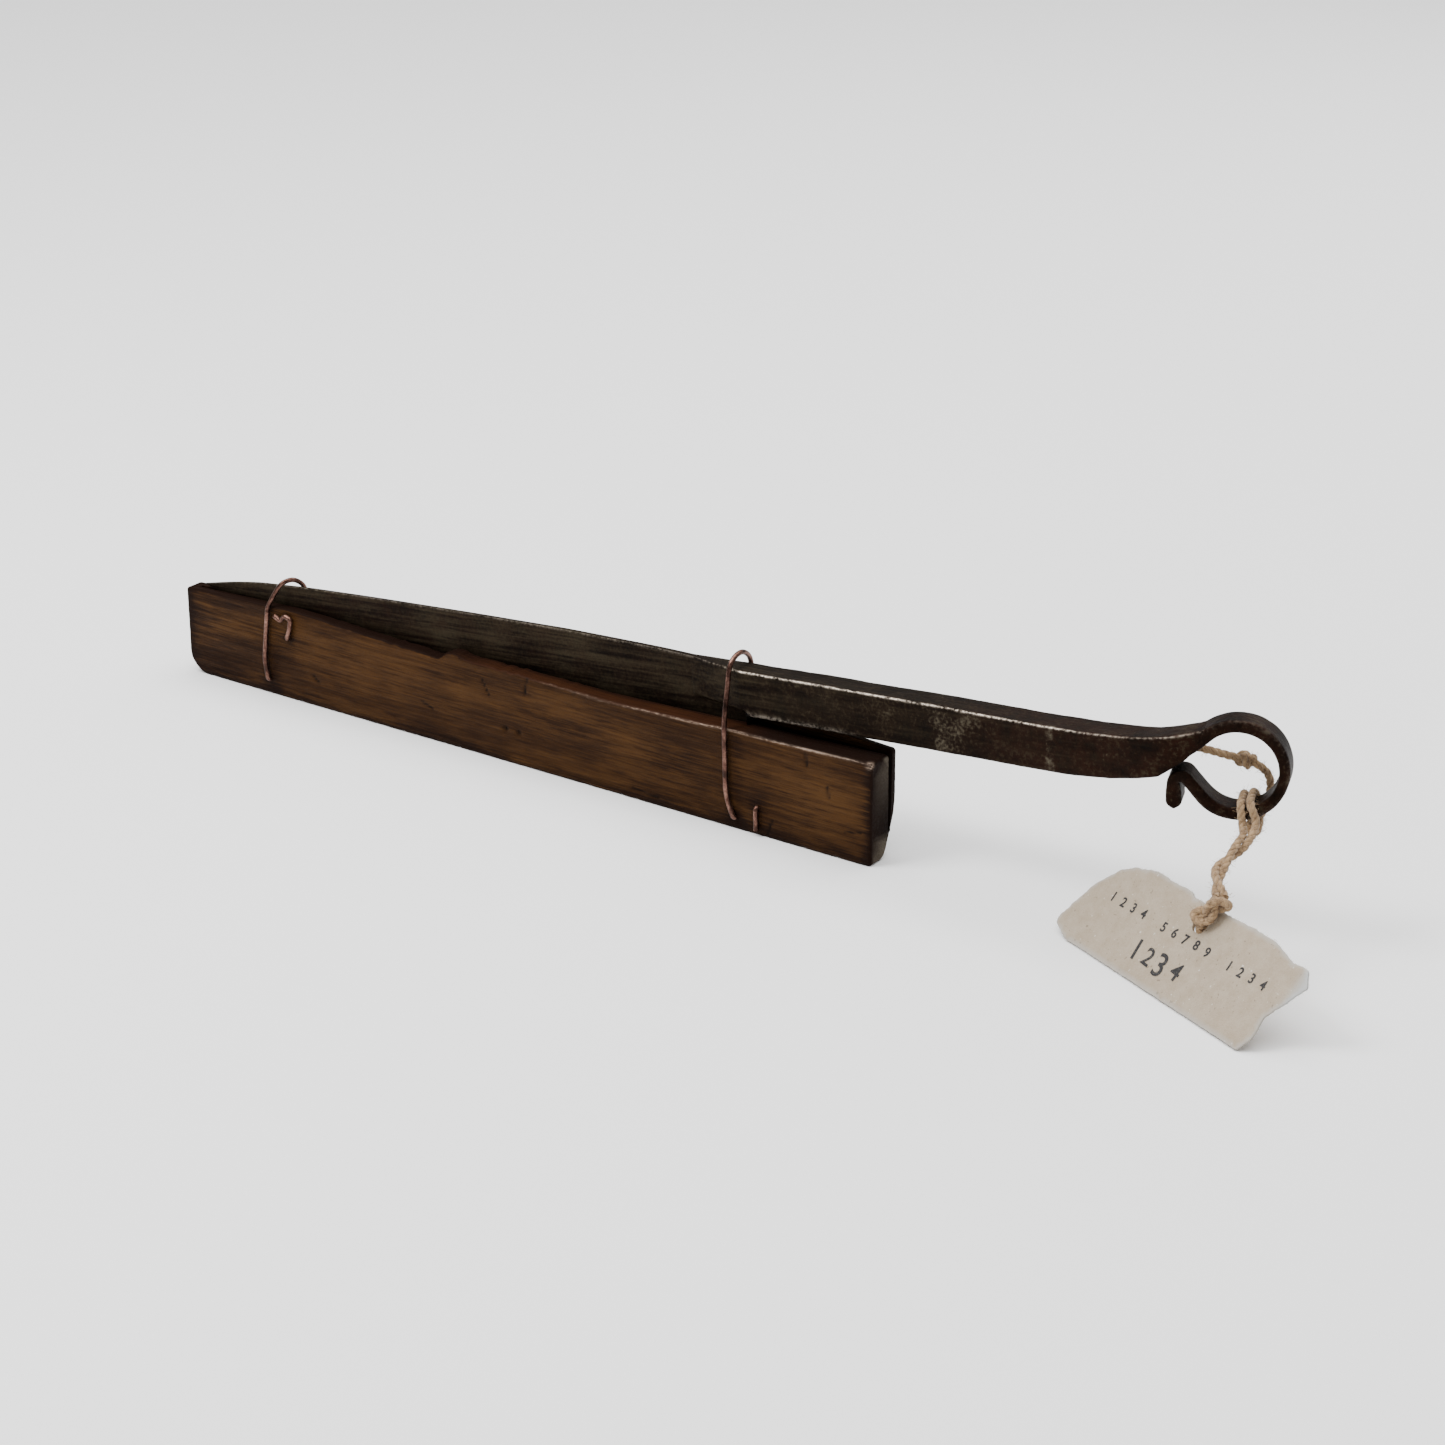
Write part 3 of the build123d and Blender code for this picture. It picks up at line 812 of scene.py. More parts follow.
class StrandTree(Growth):
    """Plies that turn round each other along a curve; one ply with no offset is a plain rod."""

    waves_per_metre = 420.0

    def __init__(self) -> None:
        """Build the tree."""
        super().__init__("laid_strand", {
            "Plies": "NodeSocketInt", "Ply Radius": "NodeSocketFloat", "Offset": "NodeSocketFloat",
            "Pitch": "NodeSocketFloat", "Step": "NodeSocketFloat", "Unevenness": "NodeSocketFloat",
            "Sides": "NodeSocketInt", "Material": "NodeSocketMaterial",
        })
        given = self.given
        even = self.node(
            "GeometryNodeResampleCurve", {"mode": "LENGTH"}, {
                "Curve": given["Geometry"], "Length": given["Step"]
            }
        )
        copies = self.node(
            "GeometryNodeDuplicateElements", {"domain": "SPLINE"}, {
                "Geometry": even, "Amount": given["Plies"]
            }
        )
        run = Value(self, self.node("GeometryNodeSplineParameter").outputs["Length"])
        share = Value(self, copies.outputs["Duplicate Index"]) / self.number("Plies")
        turn = (share + run / self.number("Pitch")) * math.tau
        normal = self.node("GeometryNodeInputNormal")
        tangent = self.node("GeometryNodeInputTangent")
        spoke = self.node(
            "ShaderNodeVectorRotate",
            {"rotation_type": "AXIS_ANGLE"},
            {"Vector": normal, "Axis": tangent, "Angle": turn},
        )
        where = self.node("GeometryNodeInputPosition")
        wave = self.node(
            "ShaderNodeTexNoise", None, {"Vector": where, "Scale": self.waves_per_metre, "Detail": 2.0}
        )
        swell = 1.0 + (Value(self, wave.outputs["Fac"]) - 0.5) * self.number("Unevenness")
        out = self.node("ShaderNodeVectorMath", {"operation": "SCALE"}, {0: spoke, "Scale": given["Offset"]})
        moved = self.node("GeometryNodeSetPosition", None, {"Geometry": copies, "Offset": out})
        round_ply = self.node(
            "GeometryNodeCurvePrimitiveCircle", None, {
                "Resolution": given["Sides"], "Radius": given["Ply Radius"]
            }
        )
        tube = self.node(
            "GeometryNodeCurveToMesh",
            None,
            {"Curve": moved, "Profile Curve": round_ply, "Scale": swell, "Fill Caps": True},
        )
        self.close(self.node("GeometryNodeSetShadeSmooth", None, {0: tube, "Shade Smooth": True}))


class FuzzTree(Growth):
    """Short bent hairs that stand off a surface."""

    def __init__(self) -> None:
        """Build the tree."""
        super().__init__("stray_fibres", {
            "Per Square Metre": "NodeSocketFloat", "Hair Length": "NodeSocketFloat",
            "Hair Radius": "NodeSocketFloat", "Lean": "NodeSocketFloat", "Seed": "NodeSocketInt",
            "Material": "NodeSocketMaterial",
        })
        given = self.given
        spread = self.node(
            "GeometryNodeDistributePointsOnFaces",
            None,
            {"Mesh": given["Geometry"], "Density": given["Per Square Metre"], "Seed": given["Seed"]},
        )
        bow = self.node(
            "GeometryNodeCurveQuadraticBezier",
            None,
            {
                "Resolution": 5, "Start": (0.0, 0.0, -0.05), "Middle": (0.32, 0.0, 0.5),
                "End": (0.05, 0.3, 1.0)
            },
        )
        thin = self.node(
            "GeometryNodeCurvePrimitiveCircle", None, {"Resolution": 3, "Radius": given["Hair Radius"]}
        )
        hair = self.node(
            "GeometryNodeCurveToMesh", None, {"Curve": bow, "Profile Curve": thin, "Fill Caps": True}
        )
        stray = self.node(
            "FunctionNodeRandomValue",
            {"data_type": "FLOAT_VECTOR"},
            {"Min": (-1.0, -1.0, -1.0), "Max": (1.0, 1.0, 1.0), "Seed": given["Seed"]},
        )
        leaning = self.node(
            "ShaderNodeVectorMath", {"operation": "SCALE"}, {0: stray, "Scale": given["Lean"]}
        )
        heading = self.node(
            "ShaderNodeVectorMath", {"operation": "ADD"}, {0: leaning, 1: spread.outputs["Normal"]}
        )
        turned = self.node("FunctionNodeAlignRotationToVector", {"axis": "Z"}, {"Vector": heading})
        size = self.node(
            "FunctionNodeRandomValue", {"data_type": "FLOAT"}, {
                "Min": 0.35, "Max": 1.0, "Seed": given["Seed"]
            }
        )
        length = Value(self, size.outputs[1]) * self.number("Hair Length")
        tall = self.node("ShaderNodeCombineXYZ", None, {"X": length, "Y": length, "Z": length})
        self.close(self.node(
            "GeometryNodeInstanceOnPoints",
            None,
            {"Points": spread, "Instance": hair, "Rotation": turned, "Scale": tall},
        ))


def curve_through(
    points: Sequence[Sequence[float]], name: str, smooth: bool, closed: bool = False
) -> bpy.types.Object:
    """Make a curve object from places in metres.

    Args:
        points: the places; a smooth curve takes them as its control points.
        name: the curve's name.
        smooth: a NURBS spline of order 3 to its ends, or straight runs.
        closed: whether the spline is a loop.

    Returns:
        The curve, linked into the scene.
    """
    data = bpy.data.curves.new(name, "CURVE")
    data.dimensions = "3D"
    data.resolution_u = 12
    spline = data.splines.new("NURBS" if smooth else "POLY")
    spline.points.add(len(points) - 1)
    for point, at in zip(spline.points, points):
        point.co = (*at, 1.0)
    if smooth:
        spline.order_u = 3
        spline.use_endpoint_u = True
    spline.use_cyclic_u = closed
    return added(name, data)


def read_curve(curve: bpy.types.Object) -> list[Vector]:
    """Return the places that a curve with no thickness runs through, in metres.

    Args:
        curve: object that holds the curve, already in the scene.

    Returns:
        The places, in order.
    """
    line = final_mesh(curve)
    places = [vertex.co.copy() for vertex in line.vertices]
    bpy.data.meshes.remove(line)
    return places


# ---- camera and light -------------------------------------------------------------------------
@dataclass
class Studio:
    """The camera, the lights and the floor."""

    target: tuple = (67.6, 0.0, 25.4)
    azimuth: float = 34.685
    elevation: float = 21.927
    distance: float = 926.1
    view: float = 23.33

    def camera(self) -> None:
        """Set the camera round the target."""
        data = bpy.data.cameras.new("camera")
        data.sensor_width = 36.0
        data.angle = math.radians(self.view)
        data.clip_start = 0.01
        data.clip_end = 20.0
        made = added("camera", data)
        around, above = math.radians(self.azimuth), math.radians(self.elevation)
        back = Vector(
            (math.sin(around) * math.cos(above), -math.cos(around) * math.cos(above), math.sin(above))
        )
        made.location = (Vector(self.target) + back * self.distance) * MM
        made.rotation_euler = back.to_track_quat("Z", "Y").to_euler()
        bpy.context.scene.camera = made
        LOG.info("camera at %s", tuple(round(v, 4) for v in made.location))

    def lamp(self, name: str, at: tuple, size: float, power: float) -> None:
        """Hang one square soft light that faces the object.

        Args:
            name: its name.
            at: where it hangs, in millimetres.
            size: its side, in metres.
            power: its watts.
        """
        data = bpy.data.lights.new(name, "AREA")
        data.size = size
        data.energy = power
        made = added(name, data)
        made.location = Vector(at) * MM
        facing = (Vector(at) - Vector(self.target)).normalized()
        made.rotation_euler = facing.to_track_quat("Z", "Y").to_euler()

    def light(self) -> None:
        """Hang the lights, whiten the world and lay the floor."""
        self.lamp("key", (-420.0, -520.0, 900.0), 0.45, 10.0)
        self.lamp("back", (200.0, 900.0, 700.0), 0.9, 4.0)
        self.lamp("overhead", (67.6, 0.0, 2200.0), 3.0, 115.0)
        world = bpy.data.worlds.new("studio")
        world.use_nodes = True
        tree = Tree(world.node_tree)
        tree.nodes.nodes.clear()
        sky = tree.node("ShaderNodeBackground", None, {"Color": (1.0, 1.0, 1.0, 1.0), "Strength": 0.27})
        tree.node("ShaderNodeOutputWorld", None, {"Surface": sky})
        bpy.context.scene.world = world
        side = 9.0
        mesh = bpy.data.meshes.new("floor")
        mesh.from_pydata(
            [(-side, -side, 0), (side, -side, 0), (side, side, 0), (-side, side, 0)], [], [(0, 1, 2, 3)]
        )
        mesh.materials.append(StudioFloor().make())
        added("floor", mesh)


# ---- sheath -----------------------------------------------------------------------------------
@dataclass(frozen=True)
class Mark:
    """A split, cut or worm hole on the front face, from one (x, z) to another."""

    start: tuple
    end: tuple
    width: float
    deep: float


@dataclass
class Sheath:
    """The block with a saw cut that holds the blade, and the two wires that bind it."""

    mouth: float = 120.0
    closed: float = -121.0
    mouth_height: float = 28.8
    crown: tuple = (-17.0, 29.4)
    closed_height: float = 26.0
    back: float = 3.2
    front_mouth: float = 9.1
    front_closed: float = 3.2
    corner: float = 7.0
    edge: float = 0.9
    wall_end: float = -117.6
    floor_at: tuple = (79.1, 9.52)
    floor_slope: float = 0.0638
    kerf_half: float = 0.45
    kerf_wedge: float = 0.0235
    worn_run: float = 11.0
    back_rise: float = 1.5
    back_rise_at: float = 104.0
    split_from: float = -78.0
    split_foot: float = -25.0
    lip_wear: tuple = (
        (-25.0, 4.1), (-20.8, 1.4), (-12.8, 2.7), (6.6, 2.5), (31.3, 2.9), (42.7, 2.6), (66.0, 1.7),
        (76.7, 1.1), (95.0, 0.8), (119.0, 0.0),
    )
    wire: float = 0.7
    off_wood: float = 0.75
    heel_from_mouth: float = 44.6
    tip_from_mouth: float = 209.1
    grip_half: float = 3.9
    marks: tuple = (
        Mark((-0.9, 9.8), (-0.9, 9.8), 0.75, 0.8),
        Mark((3.7, 9.7), (3.7, 9.7), 0.7, 0.8),
        Mark((7.0, 26.6), (6.2, 21.9), 0.35, 0.25),
        Mark((24.0, 28.4), (23.2, 25.9), 0.4, 0.3),
        Mark((-9.0, 22.6), (-6.5, 18.4), 0.3, 0.2),
        Mark((89.0, 5.2), (87.6, 0.9), 0.35, 0.3),
        Mark((99.5, 26.6), (99.8, 23.4), 0.4, 0.3),
        Mark((106.5, 19.2), (106.9, 16.2), 0.35, 0.2),
        Mark((-31.0, 11.0), (-27.0, 9.6), 0.3, 0.2),
        Mark((-72.0, 9.4), (-69.8, 7.6), 0.35, 0.25),
        Mark((43.0, 3.2), (52.0, 2.4), 0.3, 0.2),
        Mark((112.0, 8.0), (117.0, 9.0), 0.25, 0.15),
    )
    holes: tuple = ((77.3, 3.2), (84.3, 8.0), (-88.9, 4.5), (-81.0, 18.6))

    def face(self, x: Array) -> Array:
        """Return y of the front face at x."""
        along = (self.mouth - np.asarray(x, float)) / (self.mouth - self.closed)
        return -(self.front_mouth + (self.front_closed - self.front_mouth) * along)

    def top(self, x: float) -> float:
        """Return the height of the lips at x."""
        at = (self.closed, self.crown[0], self.mouth)
        return float(np.interp(x, at, (self.closed_height, self.crown[1], self.mouth_height)))

    def chipped(self, x: float) -> float:
        """Return how much of the front lip's top is split away at x.

        Args:
            x: place along the block, in millimetres.

        Returns:
            The missing height, in millimetres.
        """
        ragged = 0.17 * math.sin(
            x * 0.83 + 2.1 * math.sin(x * 0.31)
        ) + 0.07 * math.sin(x * 2.9 + 1.7 * math.sin(x * 0.73))
        if x < self.split_foot:
            part = (x - self.split_from) / (self.split_foot - self.split_from)
            return max(0.0, 4.0 * part + ragged * part) if part > 0.0 else 0.0
        at, drop = zip(*self.lip_wear)
        return max(0.0, float(np.interp(x, at, drop)) + ragged * float(ease(40.0, 0.0, x)))

    def section(self, x: float, cut: bool) -> Array:
        """Lay one ring round the block.

        Args:
            x: where along the block.
            cut: whether the kerf is there.

        Returns:
            The ring's points as (y, z).
        """
        inset = 0.0
        for gap in (self.mouth - x, x - self.closed):
            if gap < self.edge:
                inset = self.edge - math.sqrt(max(0.0, self.edge**2 - (self.edge - gap) ** 2))
        low = 0.0
        from_end = x - self.closed
        if from_end < self.corner:
            low = self.corner - math.sqrt(max(0.0, self.corner**2 - (self.corner - from_end) ** 2))
        low = min(low, self.corner - 0.3) + inset
        high = self.top(x) - inset
        lip = high - self.chipped(x)
        floor = self.floor_at[1] + (self.floor_at[0] - x) * self.floor_slope if cut else min(lip, high) - 0.05
        half_low = self.kerf_half + 0.02
        half_front = half_low + self.kerf_wedge * max(0.0, lip - floor)
        back_high = high + self.back_rise * float(bell(x - self.back_rise_at, 19.0))
        half_back = half_low + self.kerf_wedge * max(0.0, back_high - floor)
        front, back = float(self.face(x)) + inset, self.back - inset
        worn = max(0.0, (x - (self.mouth - self.worn_run)) / self.worn_run)
        across, up = 0.5 + 4.6 * worn, 0.5 + 12.4 * worn
        return ring(
            [(front, low), (front, lip), (-half_front, lip), (-half_low, floor), (half_low, floor),
             (half_back, back_high), (back, back_high), (back, low + up), (back - across, low)],
            [self.edge, self.edge * 0.8, 0.25, 0.1, 0.1, 0.25, self.edge, 0.6 + 3.0 * worn, 0.6 + 2.0 * worn],
            [46, 9, 26, 0, 26, 3, 34, 4, 10],
        )

    def stations(self) -> list[tuple[float, bool]]:
        """Return where the rings lie, and whether each has the kerf.

        Returns:
            For each ring, its place along the block and True where it has the kerf.
        """
        spots = [self.closed + d for d in (0.0, 0.05, 0.15, 0.3, 0.5, 0.75, 1.0, 1.4, 1.9, 2.5, 3.0)]
        spots = [(x, False) for x in spots] + [(self.wall_end, False), (self.wall_end + 0.03, True)]
        run = np.concatenate([
            np.arange(self.wall_end + 0.5, -110.0, 0.5), np.arange(-110.0, -28.0, 0.75),
            np.arange(-28.0, -16.0, 0.3), np.arange(-16.0, 108.0, 0.72), np.arange(108.0, 119.0, 0.5),
        ])
        spots += [(float(x), True) for x in run]
        return spots + [(self.mouth - d, True) for d in (0.9, 0.65, 0.45, 0.28, 0.15, 0.05, 0.0)]

    def marked(self, points: Array, front: Array) -> tuple[Array, Array]:
        """Return how dark the marks make each point, and how deep they cut it.

        Args:
            points: places, one to a row, in millimetres.
            front: how far each point faces the front, 0 to 1.

        Returns:
            The darkness and the depth at each point.
        """
        dark, deep = np.zeros(len(points)), np.zeros(len(points))
        flat = points[:, [0, 2]]
        for mark in self.marks:
            start, end = np.array(mark.start), np.array(mark.end)
            run = end - start
            share = np.clip((flat - start) @ run / max(float(run @ run), 1e-6), 0.0, 1.0)
            away = np.linalg.norm(flat - start - share[:, None] * run, axis=1)
            hit = bell(away, mark.width) * front
            dark = np.maximum(dark, hit)
            deep = np.maximum(deep, hit * mark.deep)
        return dark, deep

    def build_block(self, finish: bpy.types.Material) -> bpy.types.Object:
        """Build, dent and paint the block.

        Args:
            finish: material for the piece.

        Returns:
            The block's object.
        """
        spots = self.stations()
        rings = np.array([np.insert(self.section(x, cut), 0, x, axis=1) for x, cut in spots])
        flat = rings.reshape(-1, 3)
        x, y, z = flat.T
        wave = Ripple(11)
        face_y = self.face(x)
        front = ease(0.7, 0.1, y - face_y)
        behind = ease(self.back - 0.7, self.back - 0.1, y)
        top = np.array([self.top(v) for v in x])
        lip = top - np.array([self.chipped(float(v)) for v in x])
        in_kerf = bell(y, 1.0) * ease(-0.2, -1.5, z - np.where(y < 0, lip, top))
        ends = bell(x - self.mouth, 2.4) + bell(x - self.closed, 3.0)
        dark_marks, deep = self.marked(flat, front)
        edge_front_top = bell(np.hypot(y - face_y - 0.15, z - lip + 0.15), 0.32)
        run = ease(-8.0, 24.0, x) * (0.6 + 0.4 * ease(20.0, 70.0, x))
        # painted highlight along the front lip's top edge, and a painted glint on the mouth's top front
        # corner
        rim = edge_front_top * run * (0.55 + 0.45 * wave.rough(flat, (9, 9, 9)))
        rim = np.maximum(rim, bell(np.linalg.norm(flat - (119.2, -8.7, 28.2), axis=1), 0.9))
        stain = np.zeros(len(flat))
        for hx, hz in self.holes:
            stain = np.maximum(stain, bell(np.hypot(x - hx, z - hz), 3.4) * front)
        # painted shadows of the two wires, beside each on the front face
        shade = bell(x - 77.6, 2.2) + bell(x + 86.2, 2.2)
        low_edge = bell(z, 3.2)
        # darker at both ends and along the bottom, stains round the wire holes, and painted shade in the kerf
        dirt_and_shade = 0.75 * np.clip(ends, 0, 1) + 0.55 * low_edge + 0.65 * stain + 1.2 * in_kerf
        # darker towards the closed end, the painted wire shadows on the front, and painted shade on every
        # face but the front
        dirt_and_shade += 0.35 * bell(x - self.closed, 26.0) + 0.3 * shade * front + 0.35 * (1.0 - front)
        dirt_and_shade += 0.25 * bell(x - 58.0, 16.0) * bell(z - 8.0, 9.0) * front
        lit = 0.85 * bell(x - 103.0, 17.0) * bell(z - 15.0, 10.0)
        lit += 0.55 * bell(x - 22.0, 46.0) * bell(z - 18.0, 9.0)
        upper_lip = ease(0.5, 0.1, np.where(y < 0, lip, top) - z)
        rosy = ease(-24.0, -4.0, x) * ease(88.0, 70.0, x)
        # painted shade on the front lip's top: beside the kerf, and across it beyond the red stretch
        dirt_and_shade += upper_lip * front_half(y) * (0.9 * (1.0 - rosy) + 0.9 * bell(y + 0.4, 1.8))
        # painted shade on the mouth's end face
        dirt_and_shade += 0.5 * ease(self.mouth - 0.4, self.mouth, x)
        lit += (
            0.5 * bell(x + 62.0, 34.0) * bell(z - 17.0, 8.0)
            + 0.45 * bell(x + 108.0, 8.0) * bell(z - 17.0, 6.0)
        )
        on_top = upper_lip * (1.0 - 0.6 * in_kerf) * rosy * (1.0 - 0.8 * bell(y + 0.4, 1.8))
        # painted highlight: a pale strip on the mouth's end face beside the kerf; the worn mask below is a
        # worn bottom front corner
        end_highlight_and_wear = ease(self.mouth - 0.4, self.mouth, x) * ease(-3.6, -2.4, y) * ease(-0.5, -1.0, y) * 0.95
        worn = ease(111.0, 118.0, x) * ease(4.5, 1.5, z) * ease(-8.5, -6.0, y)
        # the kerf is painted near-black along with the splits, as painted shade
        paint = {
            "dirt_and_shade": dirt_and_shade, "lit": lit, "top": on_top * front_half(y), "dark_marks": np.maximum(
                dark_marks, 0.92 * np.clip(in_kerf, 0.0, 1.0)
            ),
            "rim": rim, "end_highlight_and_wear": np.maximum(end_highlight_and_wear, worn * 0.8),
        }
        skin = Skin()
        skin.loft(rings, {name: values.reshape(rings.shape[:2]) for name, values in paint.items()})

        # the faces wave, the grain opens, and the edges are nicked
        slow = wave.rough(flat, (42.0, 14.0, 12.0)) * 0.16 - 0.12
        grain = wave.rough(flat, (17.0, 1.1, 1.1)) * 0.055
        nick = np.maximum(0.0, wave.at(flat, (2.6, 2.6, 2.6)) - 0.35)
        chips = nick * (edge_front_top + bell(z, 1.2) * 0.7) * 0.55
        torn = ease(-82.0, -60.0, x) * ease(-14.0, -20.0, x) * ease(1.6, 0.2, np.abs(lip - z)) * front_half(y)
        split = torn * wave.rough(flat, (5.0, 0.8, 0.8)) * 0.3
        quiet = 1.0 - np.clip(in_kerf, 0.0, 1.0)
        dent = (slow * (front + behind) + grain - chips - deep + split) * quiet
        piece = place(skin.mesh("sheath_block", dent), Body.SHEATH, finish)
        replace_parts(piece, "sheath")
        return piece

    def heel_wire(self) -> tuple[list[tuple], list[float]]:
        """Return the points and bends of the wire that arches over the knife by its grip.

        Returns:
            The wire's points, and the radius of its bend at each one between the ends.
        """
        x = self.mouth - self.heel_from_mouth
        front = float(self.face(x)) - self.off_wood
        back = self.back + self.off_wood
        clear = self.grip_half + self.wire + 0.5
        clinch = x + 8.9
        clinch_front = float(self.face(clinch)) - self.off_wood
        points = [
            (x + 1.9, front + 3.4, 3.2), (x + 1.9, front, 3.2), (x - 0.7, front, 9.0), (x - 1.3, front, 30.0),
            (x - 2.1, -clear - 0.9, 38.4), (x - 2.3, -clear + 0.4, 45.5), (x - 1.8, 0.2, 47.2),
            (x - 2.0, clear - 0.4, 44.1), (x - 1.6, clear, 34.8), (x + 3.0, back, 24.8), (clinch, back, 8.0),
            (clinch, clinch_front, 8.0), (clinch + 0.2, clinch_front, 1.7),
        ]
        return points, [1.0, 16.0, 12.0, 8.0, 2.6, 2.3, 2.3, 5.0, 12.0, 1.4, 1.0]

    def tip_wire(self) -> tuple[list[tuple], list[float]]:
        """Return the points and bends of the wire near the blade's tip.

        Returns:
            The wire's points, and the radius of its bend at each one between the ends.
        """
        x = self.mouth - self.tip_from_mouth
        front = float(self.face(x)) - self.off_wood
        back = self.back + self.off_wood
        hook_x = x + 8.1
        hook = float(self.face(hook_x)) - self.off_wood
        points = [
            (x + 0.2, front + 2.4, 4.5), (x + 0.2, front, 4.5), (x - 0.8, front, 11.0),
            (x + 1.2, front, 27.2), (x + 4.9, -2.5, 34.6), (x + 7.0, 0.4, 35.4),
            (x + 8.6, 3.3, 33.2), (x + 9.0, back, 27.0), (hook_x, back, 18.6),
            (hook_x, hook, 18.6), (hook_x + 1.3, hook, 21.8), (hook_x + 1.8, hook, 25.0),
            (hook_x - 0.4, hook, 25.7), (hook_x - 2.0, hook, 23.8), (hook_x - 4.2, hook, 25.0),
        ]
        return points, [0.9, 12.0, 8.0, 2.0, 1.6, 2.0, 5.0, 1.3, 0.9, 3.0, 1.0, 0.9, 0.9]

    @staticmethod
    def eased(line: Array) -> Array:
        """Round a wire's arch above the wood, where a hand bent it freely."""
        for _ in range(60):
            middle = (line[:-2] + line[2:]) / 2.0
            share = 0.5 * ease(26.5, 30.0, line[1:-1, 2])[:, None]
            line[1:-1] += (middle - line[1:-1]) * share
        return line

    def build_wires(self, strands: StrandTree, finish: bpy.types.Material) -> None:
        """Bend both wires and replace their nodes."""
        wires = {"heel_binding_wire": self.heel_wire(), "tip_binding_wire": self.tip_wire()}
        for name, (points, radii) in wires.items():
            line = self.eased(bent_rod(points, radii, 0.3)) * MM
            source = curve_through(line.tolist(), name + "_line", smooth=False)
            mesh = strands.run(source, name + "_copper", {
                "Plies": 1, "Ply Radius": self.wire * MM, "Offset": 0.0, "Pitch": 1.0, "Step": 0.26 * MM,
                "Unevenness": 0.04, "Sides": 18, "Material": finish,
            })
            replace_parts(place(mesh, Body.SHEATH, finish), name)


def front_half(y: Array) -> Array:
    """Return 1 on the front lip's side of the kerf, and 0 behind it."""
    return ease(0.3, -0.3, y)


# ---- knife ------------------------------------------------------------------------------------
@dataclass
class Knife:
    """The forging: blade, bar grip and bent eye."""

    shoulder: tuple = (75.0, 0.0, 42.9)
    tilt: float = 4.5
    grip_end: float = 124.0
    turn: float = 20.0
    heel: tuple = (1.5, -33.3)
    rise: float = 8.15
    eye: tuple = (17.1, -7.9)
    eye_radius: float = 11.3
    eye_from: float = 126.0
    eye_to: float = 218.0
    strip: tuple = (8.0, 3.2)
    scroll_radius: float = 1.9
    tip: float = -191.5
    ramp: float = -17.0
    edge_half: float = 0.2
    wedge: float = 0.0235
    sides: int = 58
    back_line: tuple = (
        (-191.5, -0.5), (-181.0, 1.15), (-170.4, 2.29), (-150.0, 2.95), (-130.2, 3.1), (-95.0, 3.05),
        (-59.4, 2.70), (-30.0, 1.7), (0.0, 0.0), (30.0, -0.2), (62.0, -0.6), (86.0, -1.15),
        (104.0, -1.3), (116.0, -0.7), (124.0, 0.35), (131.5, 1.9), (134.0, 2.75), (136.0, 3.4),
    )
    grip_underside: tuple = (
        (1.5, -11.4), (3.0, -12.5), (30.0, -12.8), (62.0, -13.1), (84.0, -13.35), (100.0, -13.3),
        (110.0, -12.7), (118.0, -11.3), (122.6, -10.2), (125.0, -8.4), (128.6, -5.6), (131.5, -2.6),
        (134.0, -1.3), (136.0, 0.6),
    )

    def to_frame(self, points: Array) -> Array:
        """Turn places in the knife's own frame into the shared frame.

        Args:
            points: places, one to a row, in millimetres.

        Returns:
            The same places in the shared frame.
        """
        a = math.radians(self.tilt)
        x, y, z = np.asarray(points, float).T
        return np.column_stack([
            self.shoulder[0] + x * math.cos(a) - z * math.sin(a), self.shoulder[1] + y,
            self.shoulder[2] + x * math.sin(a) + z * math.cos(a),
        ])

    def eye_point(self, along: float, across: float, up: float) -> Array:
        """Turn a place in the eye's own frame into the shared frame.

        Args:
            along: distance from the grip's end, in the eye's plane.
            across: distance out from that plane.
            up: height in the knife's own frame.

        Returns:
            The place in the shared frame.
        """
        a = math.radians(self.turn)
        x = self.grip_end + along * math.cos(a) - across * math.sin(a)
        y = along * math.sin(a) + across * math.cos(a)
        return self.to_frame(np.array([[x, y, up]]))[0]

    def bend(self, points: Array) -> Array:
        """Turn the grip's end gradually into the eye's plane.

        Args:
            points: places, one to a row, in millimetres.

        Returns:
            The places after the turn.
        """
        x, y, z = points.T
        fine = np.linspace(117.0, 138.0, 421)
        angle = math.radians(self.turn) * ease(118.0, 130.0, fine)
        mid_x = 117.0 + np.concatenate([[0.0], np.cumsum(np.cos((angle[1:] + angle[:-1]) / 2) * 0.05)])
        mid_y = np.concatenate([[0.0], np.cumsum(np.sin((angle[1:] + angle[:-1]) / 2) * 0.05)])
        a = np.interp(x, fine, angle, left=0.0)
        centre_x = np.where(x < 117.0, x, np.interp(x, fine, mid_x))
        centre_y = np.interp(x, fine, mid_y, left=0.0)
        return np.column_stack([centre_x - y * np.sin(a), centre_y + y * np.cos(a), z])

    def edge_height(self, x: float) -> float:
        """Return z of the cutting edge's straight line at x, in the knife's frame."""
        return self.heel[1] - (x - self.heel[0]) * math.tan(math.radians(self.rise))

    def upper(self, x: float) -> float:
        """Return z of the back of the blade or the top of the grip.

        Args:
            x: place along the knife, in millimetres.

        Returns:
            Height in the knife's own frame, in millimetres.
        """
        at, high = zip(*self.back_line)
        if not -188.0 < x < 128.0:
            return float(np.interp(x, at, high))
        near = np.array([x - 3.0, x, x + 3.0])
        return float(np.interp(near, at, high) @ (0.25, 0.5, 0.25))

    def lower(self, x: float) -> float:
        """Return z of the cutting edge or the underside of the grip.

        Args:
            x: place along the knife, in millimetres.

        Returns:
            Height in the knife's own frame, in millimetres.
        """
        if x > self.heel[0]:
            at, low = zip(*self.grip_underside)
            return float(np.interp(x, at, low))
        beyond = -147.0 - x
        if beyond <= 0.0:
            return self.edge_height(x)
        return -12.03 + 0.1432 * beyond + beyond**2 / 383.8

